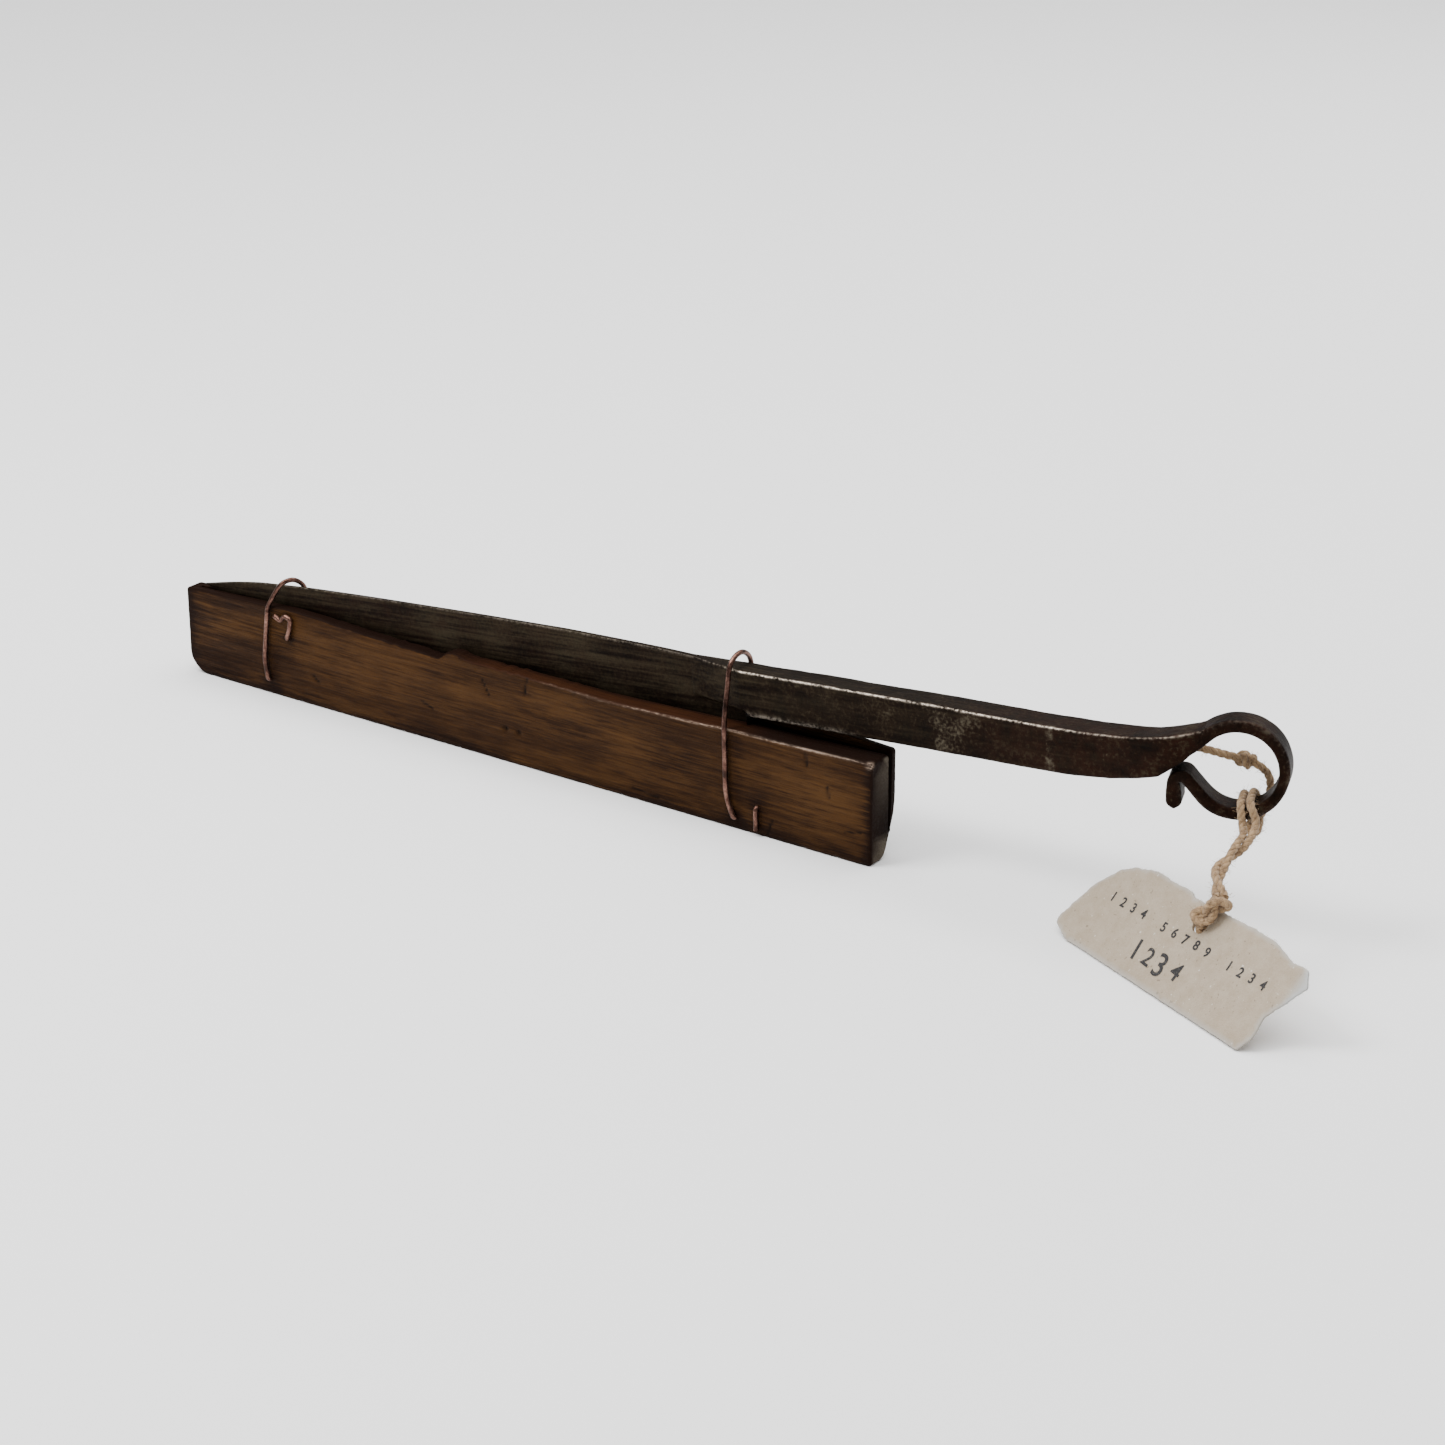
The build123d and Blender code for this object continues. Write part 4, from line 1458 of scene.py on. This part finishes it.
    def half(self, x: float, z: Array) -> Array:
        """Return half the thickness at a place on the knife's side.

        Args:
            x: place along the knife, in millimetres.
            z: heights to give it at, in millimetres.

        Returns:
            Half the thickness at each height, in millimetres.
        """
        above = np.maximum(0.0, z - self.edge_height(x))
        blade = np.minimum(self.edge_half + self.wedge * above * math.cos(math.radians(self.rise)), 1.2)
        if x < self.ramp:
            return blade
        bar = float(
            np.interp(x, (self.ramp, 0.0, 96.0, 124.0, 131.5, 136.0), (0.98, 3.9, 5.0, 4.7, 4.0, 3.6))
        )
        if x > self.heel[0]:
            return np.full(len(z), bar)
        under = float(np.interp(x, (self.ramp, 0.6, 3.0), (-9.7, -11.1, -12.3)))
        return blade + (np.maximum(bar, blade) - blade) * ease(under - 0.7, under + 0.5, z)

    def section(self, x: float) -> tuple[Array, Array]:
        """Lay one ring round the knife.

        Args:
            x: where along it, in its own frame.

        Returns:
            The ring's points as (y, z), and how near each is to the front top edge.
        """
        high, low = self.upper(x), min(self.lower(x), self.upper(x) - 0.35)
        depth = high - low
        bar = ease(self.ramp, 0.0, x)
        top_half = float(self.half(x, np.array([high]))[0])
        low_half = float(self.half(x, np.array([low]))[0])
        top_round = min(0.22 + 0.75 * float(bar), 0.48 * depth, 0.8 * top_half)
        low_round = min(0.05 if x <= self.heel[0] else 1.0, 0.48 * depth, 0.8 * low_half)
        z = np.linspace(high - top_round, low + low_round, self.sides)
        side = np.column_stack([self.half(x, z), z])
        s = np.linspace(0.0, 1.0, 7)[1:-1, None]
        inner_top = np.array([top_half - top_round, high])
        inner_low = np.array([low_half - low_round, low])
        top_bend = (1 - s) ** 2 * inner_top + 2 * s * (1 - s) * np.array([top_half, high]) + s**2 * side[0]
        low_bend = (1 - s) ** 2 * side[-1] + 2 * s * (1 - s) * np.array([low_half, low]) + s**2 * inner_low
        across_top = np.linspace(0.0, 1.0, 6)[:, None] * inner_top * (1, 0) + (0, high)
        across_low = np.linspace(1.0, 0.0, 4)[:, None] * inner_low * (1, 0) + (0, low)
        right = np.concatenate([across_top, top_bend, side, low_bend, across_low])
        left = right[1:-1][::-1] * (-1, 1)
        points = np.concatenate([right, left])
        # a painted highlight line along the front top edge
        aside, above = points[:, 0] + top_half - top_round * 0.3, points[:, 1] - high + top_round * 0.3
        rim = bell(np.hypot(aside, above), 0.22 + 0.04 * float(bar))
        return points, rim

    def strip_line(self) -> Array:
        """Return the middle line of the eye's strip, in the eye's own plane.

        Returns:
            Places along the line, one to a row.
        """
        def heading(degrees: float) -> Array:
            """Return the direction of travel clockwise round the circle."""
            a = math.radians(degrees)
            return np.array([math.sin(a), -math.cos(a)])

        middle = np.array(self.eye)
        around = np.radians(np.linspace(self.eye_from, self.eye_to - 360.0, 150))
        circle = middle + self.eye_radius * np.column_stack([np.cos(around), np.sin(around)])
        entry = circle[0] - heading(self.eye_from) * np.linspace(12.0, 0.25, 24)[:, None]
        scroll = circle[-1] + heading(self.eye_to) * np.linspace(0.25, 5.4, 14)[:, None]
        turn = self.eye_to - 180.0
        out = np.array([math.cos(math.radians(turn)), math.sin(math.radians(turn))])
        hub = scroll[-1] - out * self.scroll_radius
        over = np.radians(np.linspace(turn, 180.0, 26))[1:]
        curl = hub + self.scroll_radius * np.column_stack([np.cos(over), np.sin(over)])
        tail = curl[-1] - np.array([0.0, 1.0]) * np.linspace(0.25, 6.35, 26)[:, None]
        return np.concatenate([entry, circle, scroll, curl, tail])

    def eye_rings(self) -> tuple[Array, Array]:
        """Return the rings round the strip in the knife's frame, and the painted highlight on them.

        Returns:
            The rings, and one value of wear for each of their points.
        """
        line = self.strip_line()
        ahead = np.gradient(line, axis=0)
        ahead /= np.linalg.norm(ahead, axis=1)[:, None]
        outward = np.column_stack([-ahead[:, 1], ahead[:, 0]])
        run = np.concatenate([[0.0], np.cumsum(np.linalg.norm(np.diff(line, axis=0), axis=1))])
        left = run[-1] - run
        thick = self.strip[1] / 2 * (1.0 + 0.22 * ease(16.0, 4.0, run) - 0.08 * bell(run - 45.0, 16.0))
        thick = thick + 0.45 * ease(8.0, 3.0, left)
        end = 2.05
        thick = np.where(
            left < end, np.minimum(thick, np.sqrt(np.maximum(0.0, end**2 - (end - left) ** 2))), thick
        )
        wide = self.strip[0] / 2 * (1.0 - 0.08 * ease(12.0, 2.0, left))
        a = math.radians(self.turn)
        rings, edge_glint = [], []
        for at, out, half_t, half_w in zip(line, outward, np.maximum(thick, 0.25), wide):
            reach = min(0.95, half_t * 0.9)
            loop = ring(
                [(-half_w, -half_t), (-half_w, half_t), (half_w, half_t), (half_w, -half_t)], [reach] * 4,
                [5, 12, 5, 12], 6
            )
            along = at[0] + out[0] * loop[:, 1]
            rings.append(np.column_stack([
                self.grip_end + along * math.cos(a) - loop[:, 0] * math.sin(a),
                along * math.sin(a) + loop[:, 0] * math.cos(a), at[1] + out[1] * loop[:, 1],
            ]))
            # painted highlight along one outer corner of the strip
            edge_glint.append(bell(np.hypot(loop[:, 0] + half_w, loop[:, 1] - half_t), 0.7))
        return np.array(rings), np.array(edge_glint)

    def build(self, finish: bpy.types.Material) -> bpy.types.Object:
        """Forge the knife in one skin and paint its rust, bloom and edge highlights.

        Args:
            finish: material for the piece.

        Returns:
            The knife's object.
        """
        spots = np.concatenate([
            self.tip + np.array([0.02, 0.12, 0.3, 0.6, 1.0, 1.6, 2.3]), np.arange(-188.4, -18.0, 0.95),
            np.arange(-18.0, 1.4, 0.45), [1.45, 1.5, 1.52],
            np.arange(2.0, 118.0, 0.9), np.arange(118.0, 136.1, 0.4),
        ])
        loops, edge_glint = zip(*(self.section(float(x)) for x in spots))
        own = np.array([np.column_stack([np.full(len(loop), x), loop]) for x, loop in zip(spots, loops)])
        eye_own, eye_glint = self.eye_rings()
        skin = Skin()
        for number, (local, glint) in enumerate(((own, np.array(edge_glint)), (eye_own, eye_glint))):
            flat = local.reshape(-1, 3)
            bent = self.bend(flat) if number == 0 else flat
            x, y, z = flat.T
            on_bar = ease(-6.0, 2.0, x)
            low = np.array([self.lower(float(v)) for v in x]) if number == 0 else np.full(len(x), -30.0)
            front = ease(-0.2, -0.6, y) if number == 0 else np.ones(len(x))
            # painted highlight along the front top edge, weaker on the eye and towards the grip's end, then a
            # painted highlight along the bar's lower front edge
            rim = glint.reshape(-1) * (0.18 + 0.82 * on_bar) * (1.0 - 0.72 * ease(84.0, 118.0, x))
            rim *= 0.2 if number else 1.0
            low_edge = bell(
                np.hypot(z - low - 0.3, 0.4), 0.8
            ) * ease(1.5, 4.0, x) * ease(40.0, 22.0, x) * front
            rim = np.maximum(rim, low_edge * 0.55)
            bloom = 0.56 * bell(x - 63.0, 20.0) + 0.6 * bell(x - 94.0, 2.6) + 0.5 * bell(x - 109.0, 2.6)
            bloom += 0.34 * bell(x - 20.0, 16.0)
            bloom = bloom * (1.0 - 0.5 * bell(y, 3.0)) * ease(-10.0, 6.0, x)
            rust = 0.25 + 0.75 * ease(50.0, 105.0, x) + 0.2 * bell(x + 120.0, 60.0)
            streaky = 1.0 - 0.55 * ease(-4.0, 20.0, x) - 0.35 * ease(100.0, 130.0, x)
            streaky -= 0.3 * bell(x + 16.0, 20.0)
            paint = {"rim": rim, "bloom": bloom, "rust": rust, "streaky": streaky}
            shaped = {name: values.reshape(local.shape[:2]) for name, values in paint.items()}
            shaped["forged"] = local
            skin.loft(self.to_frame(bent).reshape(local.shape), shaped)
        beat = Ripple(23)
        forged = np.concatenate(skin.paint["forged"])

        # hammer facets on the bar, and faint draw marks on the blade
        x, y, z = forged.T
        bar = ease(-14.0, 4.0, x)
        blows = beat.rough(forged, (9.0, 12.0, 7.0), 2)
        fine = beat.at(forged, (1.6, 1.6, 1.2))
        draw = beat.rough(forged, (24.0, 1.0, 1.6), 2)
        turned = np.column_stack([x * 0.6 - z * 0.9, y, z * 0.5 + x * 0.3])
        swirl = beat.at(turned, (2.2, 9.0, 9.0)) * bell(x + 12.0, 14.0)
        dent = bar * (blows * 0.2 + fine * 0.035 - 0.06) + (1.0 - bar) * (draw * 0.05 + swirl * 0.05 - 0.03)
        piece = place(skin.mesh("forged_knife", dent), Body.KNIFE, finish)
        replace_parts(piece, "knife")
        return piece


# ---- twine ------------------------------------------------------------------------------------
class Knot(Enum):
    """How a knot is wound."""

    OVERHAND = 3
    WRAPPED = 5


@dataclass
class Twine:
    """The doubled twine on the eye, its tail and its knots."""

    knife: Knife
    strands: StrandTree
    fuzz: FuzzTree
    finish: bpy.types.Material
    diameter: float = 2.1
    ply: float = 0.62
    pitch: float = 5.6
    knot_pitch: float = 4.6
    off_iron: float = 0.2
    twist: float = 60.0
    twist_radius: float = 1.05
    hitch_radius: float = 2.3
    hitch_degrees: tuple = (-85.0, -69.0)
    lead: tuple = (
        (222.6, -2.4, 32.2), (222.2, -5.6, 30.6), (221.2, -8.9, 28.9), (220.6, -12.3, 27.3),
        (221.4, -15.7, 25.9), (223.3, -18.9, 24.9), (225.8, -21.7, 24.2),
    )
    tail: tuple = (
        (20.6, 3.6, -23.2), (22.6, 7.2, -21.6), (23.6, 7.9, -17.6), (23.7, 7.4, -13.2), (21.6, 6.6, -10.2),
        (18.0, 6.2, -8.6), (13.0, 6.0, -7.3), (8.2, 5.7, -5.9), (5.0, 5.4, -5.0),
    )

    def strip_point(self, degrees: float, across: float, radius: float) -> Array:
        """Return a place given round the eye's middle.

        Args:
            degrees: angle round the eye's middle.
            across: distance out from the eye's plane.
            radius: distance from the eye's middle.

        Returns:
            The place in the shared frame.
        """
        a = math.radians(degrees)
        along, up = self.knife.eye
        return self.knife.eye_point(along + radius * math.cos(a), across, up + radius * math.sin(a))

    def strand_route(self, degrees: float, phase: float) -> list[Array]:
        """Return one strand's route: up behind the strip, through the eye and down to the tag.

        Args:
            degrees: where it goes round the strip.
            phase: how far it is turned round the other strand.

        Returns:
            The route's points, in millimetres.
        """
        off = self.diameter / 2 + self.off_iron
        radius, half = self.knife.eye_radius, self.knife.strip[1] / 2
        inside, outside = radius - half - off, radius + half + off
        side = self.knife.strip[0] / 2 + off
        route = [
            self.strip_point(degrees, side, outside - 0.7), self.strip_point(degrees, side, inside),
            self.strip_point(degrees, 0.0, inside - 0.4), self.strip_point(degrees, -side, inside),
            self.strip_point(degrees, -side, outside - 0.6),
        ]
        middle = [Vector(p) for p in self.lead]
        for i, here in enumerate(middle):
            ahead = (middle[min(i + 1, len(middle) - 1)] - middle[max(i - 1, 0)]).normalized()
            aside = ahead.cross(Vector((0, 0, 1))).normalized()
            over = aside.cross(ahead)
            a = math.radians(phase + self.twist * i)
            route.append(np.array(here + (aside * math.cos(a) + over * math.sin(a)) * self.twist_radius))
        return route

    def lay(self, source: bpy.types.Object, name: str, pitch: float) -> bpy.types.Mesh:
        """Lay three plies along a curve."""
        return self.strands.run(source, name, {
            "Plies": 3, "Ply Radius": self.ply * MM, "Offset": (self.diameter / 2 - self.ply) * MM,
            "Pitch": pitch * MM, "Step": 0.3 * MM, "Unevenness": 0.3, "Sides": 9, "Material": self.finish,
        })

    def grow(self, mesh: bpy.types.Mesh, name: str, seed: int, thick: float) -> bpy.types.Object:
        """Grow stray fibres on a twine mesh as a separate piece.

        Args:
            mesh: twine mesh that they grow from.
            name: name of the piece of fibres.
            seed: seed for where they stand.
            thick: how many stand on a square millimetre.

        Returns:
            The object with the fibres.
        """
        source = added(name + "_source", mesh.copy())
        hairs = self.fuzz.run(source, name, {
            "Per Square Metre": thick * 1.0e6, "Hair Length": 1.7 * MM, "Hair Radius": 0.018,
            "Lean": 1.3, "Seed": seed, "Material": self.finish,
        })
        return place(hairs, Body.KNIFE, self.finish)

    def build_cord(
        self, name: str, node: str, route: Sequence[Array], seed: int,
    ) -> None:
        """Args:
            name: the piece's name.
            node: the CAD node that it replaces.
            route: the control points of its line, in millimetres.
            seed: seed for its stray fibres.
        """
        curve = curve_through([tuple(p * MM) for p in route], name + "_line", smooth=True)
        places = read_curve(curve)
        bpy.data.objects.remove(curve)
        run = sum((b - a).length for a, b in zip(places, places[1:]))
        LOG.info("%s runs %.1f mm", name, run / MM)
        mesh = self.lay(curve_through(places, name + "_run", smooth=False), name, self.pitch)
        piece = place(mesh, Body.KNIFE, self.finish)
        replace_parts(piece, node)
        hairs = self.grow(mesh, name + "_fuzz", seed, 0.9)

    def knot_line(
        self, kind: Knot, middle: Array, heading: Array, length: float, radius: float
    ) -> list[Array]:
        """Return the closed line of a knot drawn tight.

        Args:
            kind: how it is wound.
            middle: its middle.
            heading: the direction of its length.
            length: its whole length.
            radius: its whole radius.

        Returns:
            Places along its twine.
        """
        axis = Vector(heading).normalized()
        side = axis.cross(Vector((0.0, 0.0, 1.0))).normalized()
        up = side.cross(axis)
        reach, girth = length / 2 - self.diameter / 2, max(0.75, radius - self.diameter / 2 + 0.15)
        places = []
        for t in np.linspace(0.0, math.tau, 97)[:-1]:
            if kind is Knot.OVERHAND:
                u = (math.sin(t) + 2.0 * math.sin(2.0 * t)) / 2.76
                v = (math.cos(t) - 2.0 * math.cos(2.0 * t)) / 3.0
                w = -math.sin(3.0 * t)
            else:
                u = math.cos(t)
                v = math.cos(5.0 * t) * (0.72 + 0.28 * math.sin(2.0 * t))
                w = math.sin(5.0 * t) * (0.72 + 0.28 * math.sin(2.0 * t))
            places.append(
                np.array(Vector(middle) + axis * (u * reach) + side * (v * girth) + up * (w * girth))
            )
        return places

    def build_knot(
        self, name: str, node: str, kind: Knot, middle: Array, heading: Array, length: float, radius: float,
        seed: int, more: Sequence[Sequence[Array]] = ()
    ) -> list[bpy.types.Object]:
        """Wind one knot, with any further turns of twine, and grow its fibres.

        Args:
            name: name of the piece.
            node: node that it replaces.
            kind: which knot it is.
            middle: the knot's middle.
            heading: which way it points.
            length: its length, in millimetres.
            radius: its radius, in millimetres.
            seed: seed for its fibres.
            more: lines of further turns of twine.

        Returns:
            The knot and its fibres.
        """
        lines = [
            (self.knot_line(kind, middle, heading, length, radius), True), *((line, False) for line in more)
        ]
        data = bpy.data.curves.new(name + "_line", "CURVE")
        data.dimensions = "3D"
        for line, closed in lines:
            spline = data.splines.new("POLY")
            spline.points.add(len(line) - 1)
            for point, at in zip(spline.points, line):
                point.co = (*(np.asarray(at) * MM), 1.0)
            spline.use_cyclic_u = closed
        mesh = self.lay(added(name + "_line", data), name, self.knot_pitch)
        piece = place(mesh, Body.KNIFE, self.finish)
        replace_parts(piece, node)
        return [piece, self.grow(mesh, name + "_fuzz", seed, 0.8)]

    def build(self, tag: "Tag") -> None:
        """Tie the knots and lay the strands.

        Args:
            tag: the tag that they tie on.
        """
        route_a = self.strand_route(self.hitch_degrees[0], 0.0)
        route_b = self.strand_route(self.hitch_degrees[1], 180.0)
        tail = [self.knife.eye_point(*p) for p in self.tail]
        under = self.knife.eye_radius + self.knife.strip[1] / 2 + self.hitch_radius + 0.1
        between = sum(self.hitch_degrees) / 2
        hitch = self.strip_point(between, 0.6, under)
        across = self.strip_point(between, 1.6, under) - hitch
        hitch_knot = self.build_knot("hitch_turns", "twine_hitch", Knot.WRAPPED, hitch, across, 9.4, 2.2, 5)
        tail_knot = self.build_knot(
            "tail_overhand", "twine_tail_knot", Knot.OVERHAND, tail[5], tail[6] - tail[4], 5.6, 2.0, 6
        )
        middle = tag.point(tag.hole[0] + 3.0, tag.hole[1] + 4.2, 2.7)
        foot = tag.point(tag.hole[0], tag.hole[1], 2.3)
        into_hole = (
            (1.8, 2.4, 2.6), (0.9, 1.2, 2.3), (0.2, 0.2, 1.4),
            (0.0, 0.0, 0.2), (0.0, 0.0, -1.0), (0.3, 0.3, -1.8),
        )
        neck = [tag.point(tag.hole[0] + s, tag.hole[1] + t, h) for s, t, h in into_hole]
        turn = [tag.point(tag.hole[0] + 1.6 * math.cos(t), tag.hole[1] + 1.6 * math.sin(t), -1.85)
                for t in np.linspace(0.0, math.tau * 0.94, 26)]
        tag_knot = self.build_knot(
            "tag_overhand", "tag_knot", Knot.OVERHAND, middle, middle - foot, 11.2, 2.5, 7, (neck, turn)
        )
        self.build_cord("twine_lead_a", "twine_strand_a", route_a, 1)
        self.build_cord("twine_lead_b", "twine_strand_b", route_b, 2)
        self.build_cord("twine_loose_end", "twine_tail", tail, 3)


# ---- tag --------------------------------------------------------------------------------------
def within(spot: Array, loop: Array) -> bool:
    """Say whether a spot is inside a closed outline.

    Args:
        spot: place to test, in two dimensions.
        loop: corners of the outline, in order.

    Returns:
        True inside it.
    """
    a, b = loop, np.roll(loop, -1, 0)
    crosses = (a[:, 1] > spot[1]) != (b[:, 1] > spot[1])
    at = a[:, 0] + (spot[1] - a[:, 1]) * (b[:, 0] - a[:, 0]) / np.where(crosses, b[:, 1] - a[:, 1], 1.0)
    return bool(np.count_nonzero(crosses & (spot[0] < at)) % 2)


@dataclass
class Tag:
    """The torn card, numbered by hand stamp."""

    origin: tuple = (183.4, -18.9, 0.643)
    heading: float = -25.65
    lean: float = 40.0
    thick: float = 1.0
    hole: tuple = (35.9, 20.4)
    hole_radius: float = 2.3
    outline: tuple = (
        (-1.2, 0.0), (67.4, 0.0), (69.3, 3.0), (69.6, 6.4), (68.9, 9.7), (73.6, 17.7), (75.5, 20.8),
        (72.1, 24.7), (67.0, 24.3), (62.4, 25.3), (57.6, 26.5), (50.1, 26.4), (29.4, 25.3), (27.0, 26.2),
        (12.0, 26.0), (5.4, 23.8), (1.9, 21.6), (-2.5, 16.6), (-5.3, 9.7), (-7.5, 3.7), (-7.1, 2.1),
    )

    def warp(self, s: float, t: float) -> float:
        """Return how far the card bows forwards at a place on it."""
        return 0.35 * math.sin(s * 0.06 + 0.4) * (t / 26.0) - 0.2 * math.cos(s * 0.11) * (t / 26.0)

    def point(self, s: float, t: float, out: float = 0.0) -> Array:
        """Return a place given along the card's lower edge, up it, and out from its front.

        Args:
            s: distance along the card's lower edge.
            t: distance up the card.
            out: distance out from its front.

        Returns:
            The place in the shared frame.
        """
        turn, lean = math.radians(self.heading), math.radians(self.lean)
        along = np.array([math.cos(turn), math.sin(turn), 0.0])
        back = np.array([-math.sin(turn), math.cos(turn), 0.0])
        up = np.array([0.0, 0.0, math.cos(lean)]) + back * math.sin(lean)
        return np.array(self.origin) + along * s + up * t + np.cross(along, up) * (out + self.warp(s, t))

    def rim_line(self) -> Array:
        """Return the torn outline, a point about every half millimetre.

        Returns:
            Places on the card's own two axes, one to a row.
        """
        corners = np.array(self.outline)
        noise = Ripple(41)
        places = []
        for a, b in zip(corners, np.roll(corners, -1, 0)):
            number = max(1, int(np.linalg.norm(b - a) / 0.5))
            places += [a + (b - a) * i / number for i in range(number)]
        line = np.array(places)
        for _ in range(2):
            line = (np.roll(line, 1, 0) + line * 2.0 + np.roll(line, -1, 0)) / 4.0
        deep = np.column_stack([line, np.zeros(len(line))])
        ahead = np.roll(line, -1, 0) - np.roll(line, 1, 0)
        outward = np.column_stack([ahead[:, 1], -ahead[:, 0]]) / (
            np.linalg.norm(ahead, axis=1)[:, None] + 1e-9
        )
        ragged = noise.rough(deep, (2.4, 2.4, 1.0)) * 0.3 + noise.at(deep, (0.7, 0.7, 1.0)) * 0.12
        kept = np.where(line[:, 1] < 1.0, 0.3, 1.0)
        line = line + outward * (ragged * kept - 0.12)[:, None]
        line[:, 1] = np.maximum(line[:, 1], 0.02)
        return line

    def build(self, finish: bpy.types.Material, fuzz: FuzzTree) -> None:
        """Tear the card out, roughen its edge and replace the node.

        Args:
            finish: material for the piece.
            fuzz: tree that grows its fibres.
        """
        rim = self.rim_line()
        around = np.linspace(0.0, math.tau, 41)[:-1]
        torn_round = (1.0 + 0.05 * np.sin(5 * around))[:, None]
        circle = np.column_stack([np.cos(around), np.sin(around)])
        hole = np.array(self.hole) + self.hole_radius * circle * torn_round
        grid = np.array([(s, t) for s in np.arange(-7.0, 76.0, 1.1) for t in np.arange(0.6, 26.6, 1.1)])
        gap = np.min(np.linalg.norm(grid[:, None] - np.concatenate([rim, hole])[None], axis=2), axis=1)
        grid = np.array([p for p in grid[gap > 0.55] if within(p, rim) and not within(p, hole)])
        loops = [len(rim), len(hole)]
        flat = np.concatenate([rim, hole, grid])
        edges, start = [], 0
        for number in loops:
            edges += [(start + i, start + (i + 1) % number) for i in range(number)]
            start += number
        found = delaunay_2d_cdt([Vector(p) for p in flat], edges, [], 0, 1e-6)
        places, faces = np.array([tuple(p) for p in found[0]]), found[2]
        middles = [places[list(face)].mean(0) for face in faces]
        kept = [f for f, m in zip(faces, middles) if within(m, rim) and not within(m, hole)]
        away = np.min(np.linalg.norm(places[:, None] - rim[None], axis=2), axis=1)
        noise = Ripple(52)
        bumps = noise.rough(np.column_stack([places, np.zeros(len(places))]), (6.0, 6.0, 1.0)) * 0.06
        pinch = bell(away, 0.45) * 0.24
        shaped = list(zip(places, bumps, pinch))
        front = np.array([self.point(*p, out=b - d) for p, b, d in shaped])
        behind = np.array([self.point(*p, out=-self.thick + b * 0.5 + d) for p, b, d in shaped])
        number = len(places)
        sheets = [tuple(f) for f in kept] + [tuple(i + number for i in reversed(f)) for f in kept]
        used = dict.fromkeys(pair for face in kept for pair in zip(face, (*face[1:], face[0])))
        sheets += [(b, a, a + number, b + number) for a, b in used if (b, a) not in used]
        skin = Skin()
        skin.shape(np.concatenate([front, behind]), sheets)
        torn = bell(away, 0.4) * 0.55 + ease(70.0, 74.0, places[:, 0]) * 0.8
        skin.paint["torn"] = [np.concatenate([torn, torn])]
        mesh = skin.mesh("card_tag")
        piece = place(mesh, Body.KNIFE, finish)
        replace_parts(piece, "tag")
        self.build_fibres(rim, finish, fuzz)

    def build_fibres(self, rim: Array, finish: bpy.types.Material, fuzz: FuzzTree) -> None:
        """Grow the fine fibres along the torn edge.

        Args:
            rim: places along the torn edge.
            finish: material for the piece.
            fuzz: tree that grows them.
        """
        skin = Skin()
        front = np.array([self.point(*p, out=-0.25) for p in rim])
        behind = np.array([self.point(*p, out=-0.75) for p in rim])
        number = len(rim)
        band = [(i, (i + 1) % number, (i + 1) % number + number, i + number) for i in range(number)]
        skin.shape(np.concatenate([front, behind]), band)
        source = added("edge_band", skin.mesh("edge_band"))
        hairs = fuzz.run(source, "card_fibres", {
            "Per Square Metre": 9.0e6, "Hair Length": 0.55 * MM, "Hair Radius": 0.03,
            "Lean": 0.9, "Seed": 12, "Material": finish,
        })
        place(hairs, Body.KNIFE, finish)

    def build_numbers(self, finish: bpy.types.Material) -> None:
        """Type one row of plain figures and stamp another, uneven, below it.

        Args:
            finish: material for the piece.
        """
        rng = np.random.default_rng(9)
        skin = Skin()
        row = "1234 56789 1234"
        pace = 57.9 / (len(row) - 1)
        for i, figure in enumerate(row):
            if figure != " ":
                jitter = rng.uniform(-0.12, 0.12)
                self.stamp(
                    skin, figure, (5.4 + pace * i - 0.7, 14.0 + 0.8 * i / len(row) + jitter), 2.5,
                    rng.uniform(-2.0, 2.0)
                )
        stamped = (
            ("1", (20.8, 4.7), 5.4, 3.0), ("2", (25.6, 5.2), 4.6, -4.0),
            ("3", (30.2, 4.2), 6.0, 2.0), ("4", (36.0, 5.8), 4.6, -5.0),
        )
        for figure, at, height, skew in stamped:
            self.stamp(skin, figure, at, height, skew)
        piece = place(skin.mesh("tag_figures"), Body.KNIFE, finish)
        LOG.info("figures on %s", piece.name)

    def stamp(self, skin: Skin, figure: str, at: Sequence[float], height: float, skew: float) -> None:
        """Add one figure to the ink.

        Args:
            skin: the ink's points and faces.
            figure: a single digit.
            at: where its lower left corner is on the card.
            height: how tall it is.
            skew: how far it is turned, in degrees.
        """
        data = bpy.data.curves.new("figure", "FONT")
        data.body = figure
        data.size = height / FIGURE_HEIGHT
        data.extrude = 0.012
        data.offset = 0.08
        data.resolution_u = 4
        source = added("figure", data)
        mesh = final_mesh(source)
        flat = np.array([tuple(v.co) for v in mesh.vertices])
        faces = [tuple(p.vertices) for p in mesh.polygons]
        a = math.radians(skew)
        s = at[0] + flat[:, 0] * math.cos(a) - flat[:, 1] * math.sin(a)
        t = at[1] + flat[:, 0] * math.sin(a) + flat[:, 1] * math.cos(a)
        lifted = np.array([self.point(x, y, 0.075 + z) for x, y, z in zip(s, t, flat[:, 2])])
        skin.shape(lifted, faces)
        bpy.data.objects.remove(source)
        bpy.data.meshes.remove(mesh)


def main() -> None:
    """Build everything in order: camera, twine, knife, sheath, tag and studio."""
    logging.basicConfig(level=logging.INFO, format="%(name)s %(message)s")
    studio, strands, fuzz = Studio(), StrandTree(), FuzzTree()
    studio.camera()
    knife, tag, sheath = Knife(), Tag(), Sheath()
    card = GreyCard().make()
    Twine(knife, strands, fuzz, Jute().make()).build(tag)
    knife.build(ForgedIron().make())
    sheath.build_block(WaxedWood().make())
    sheath.build_wires(strands, CopperWire().make())
    tag.build(card, fuzz)
    tag.build_numbers(Ink().make())
    studio.light()


if __name__ == "__main__":
    main()
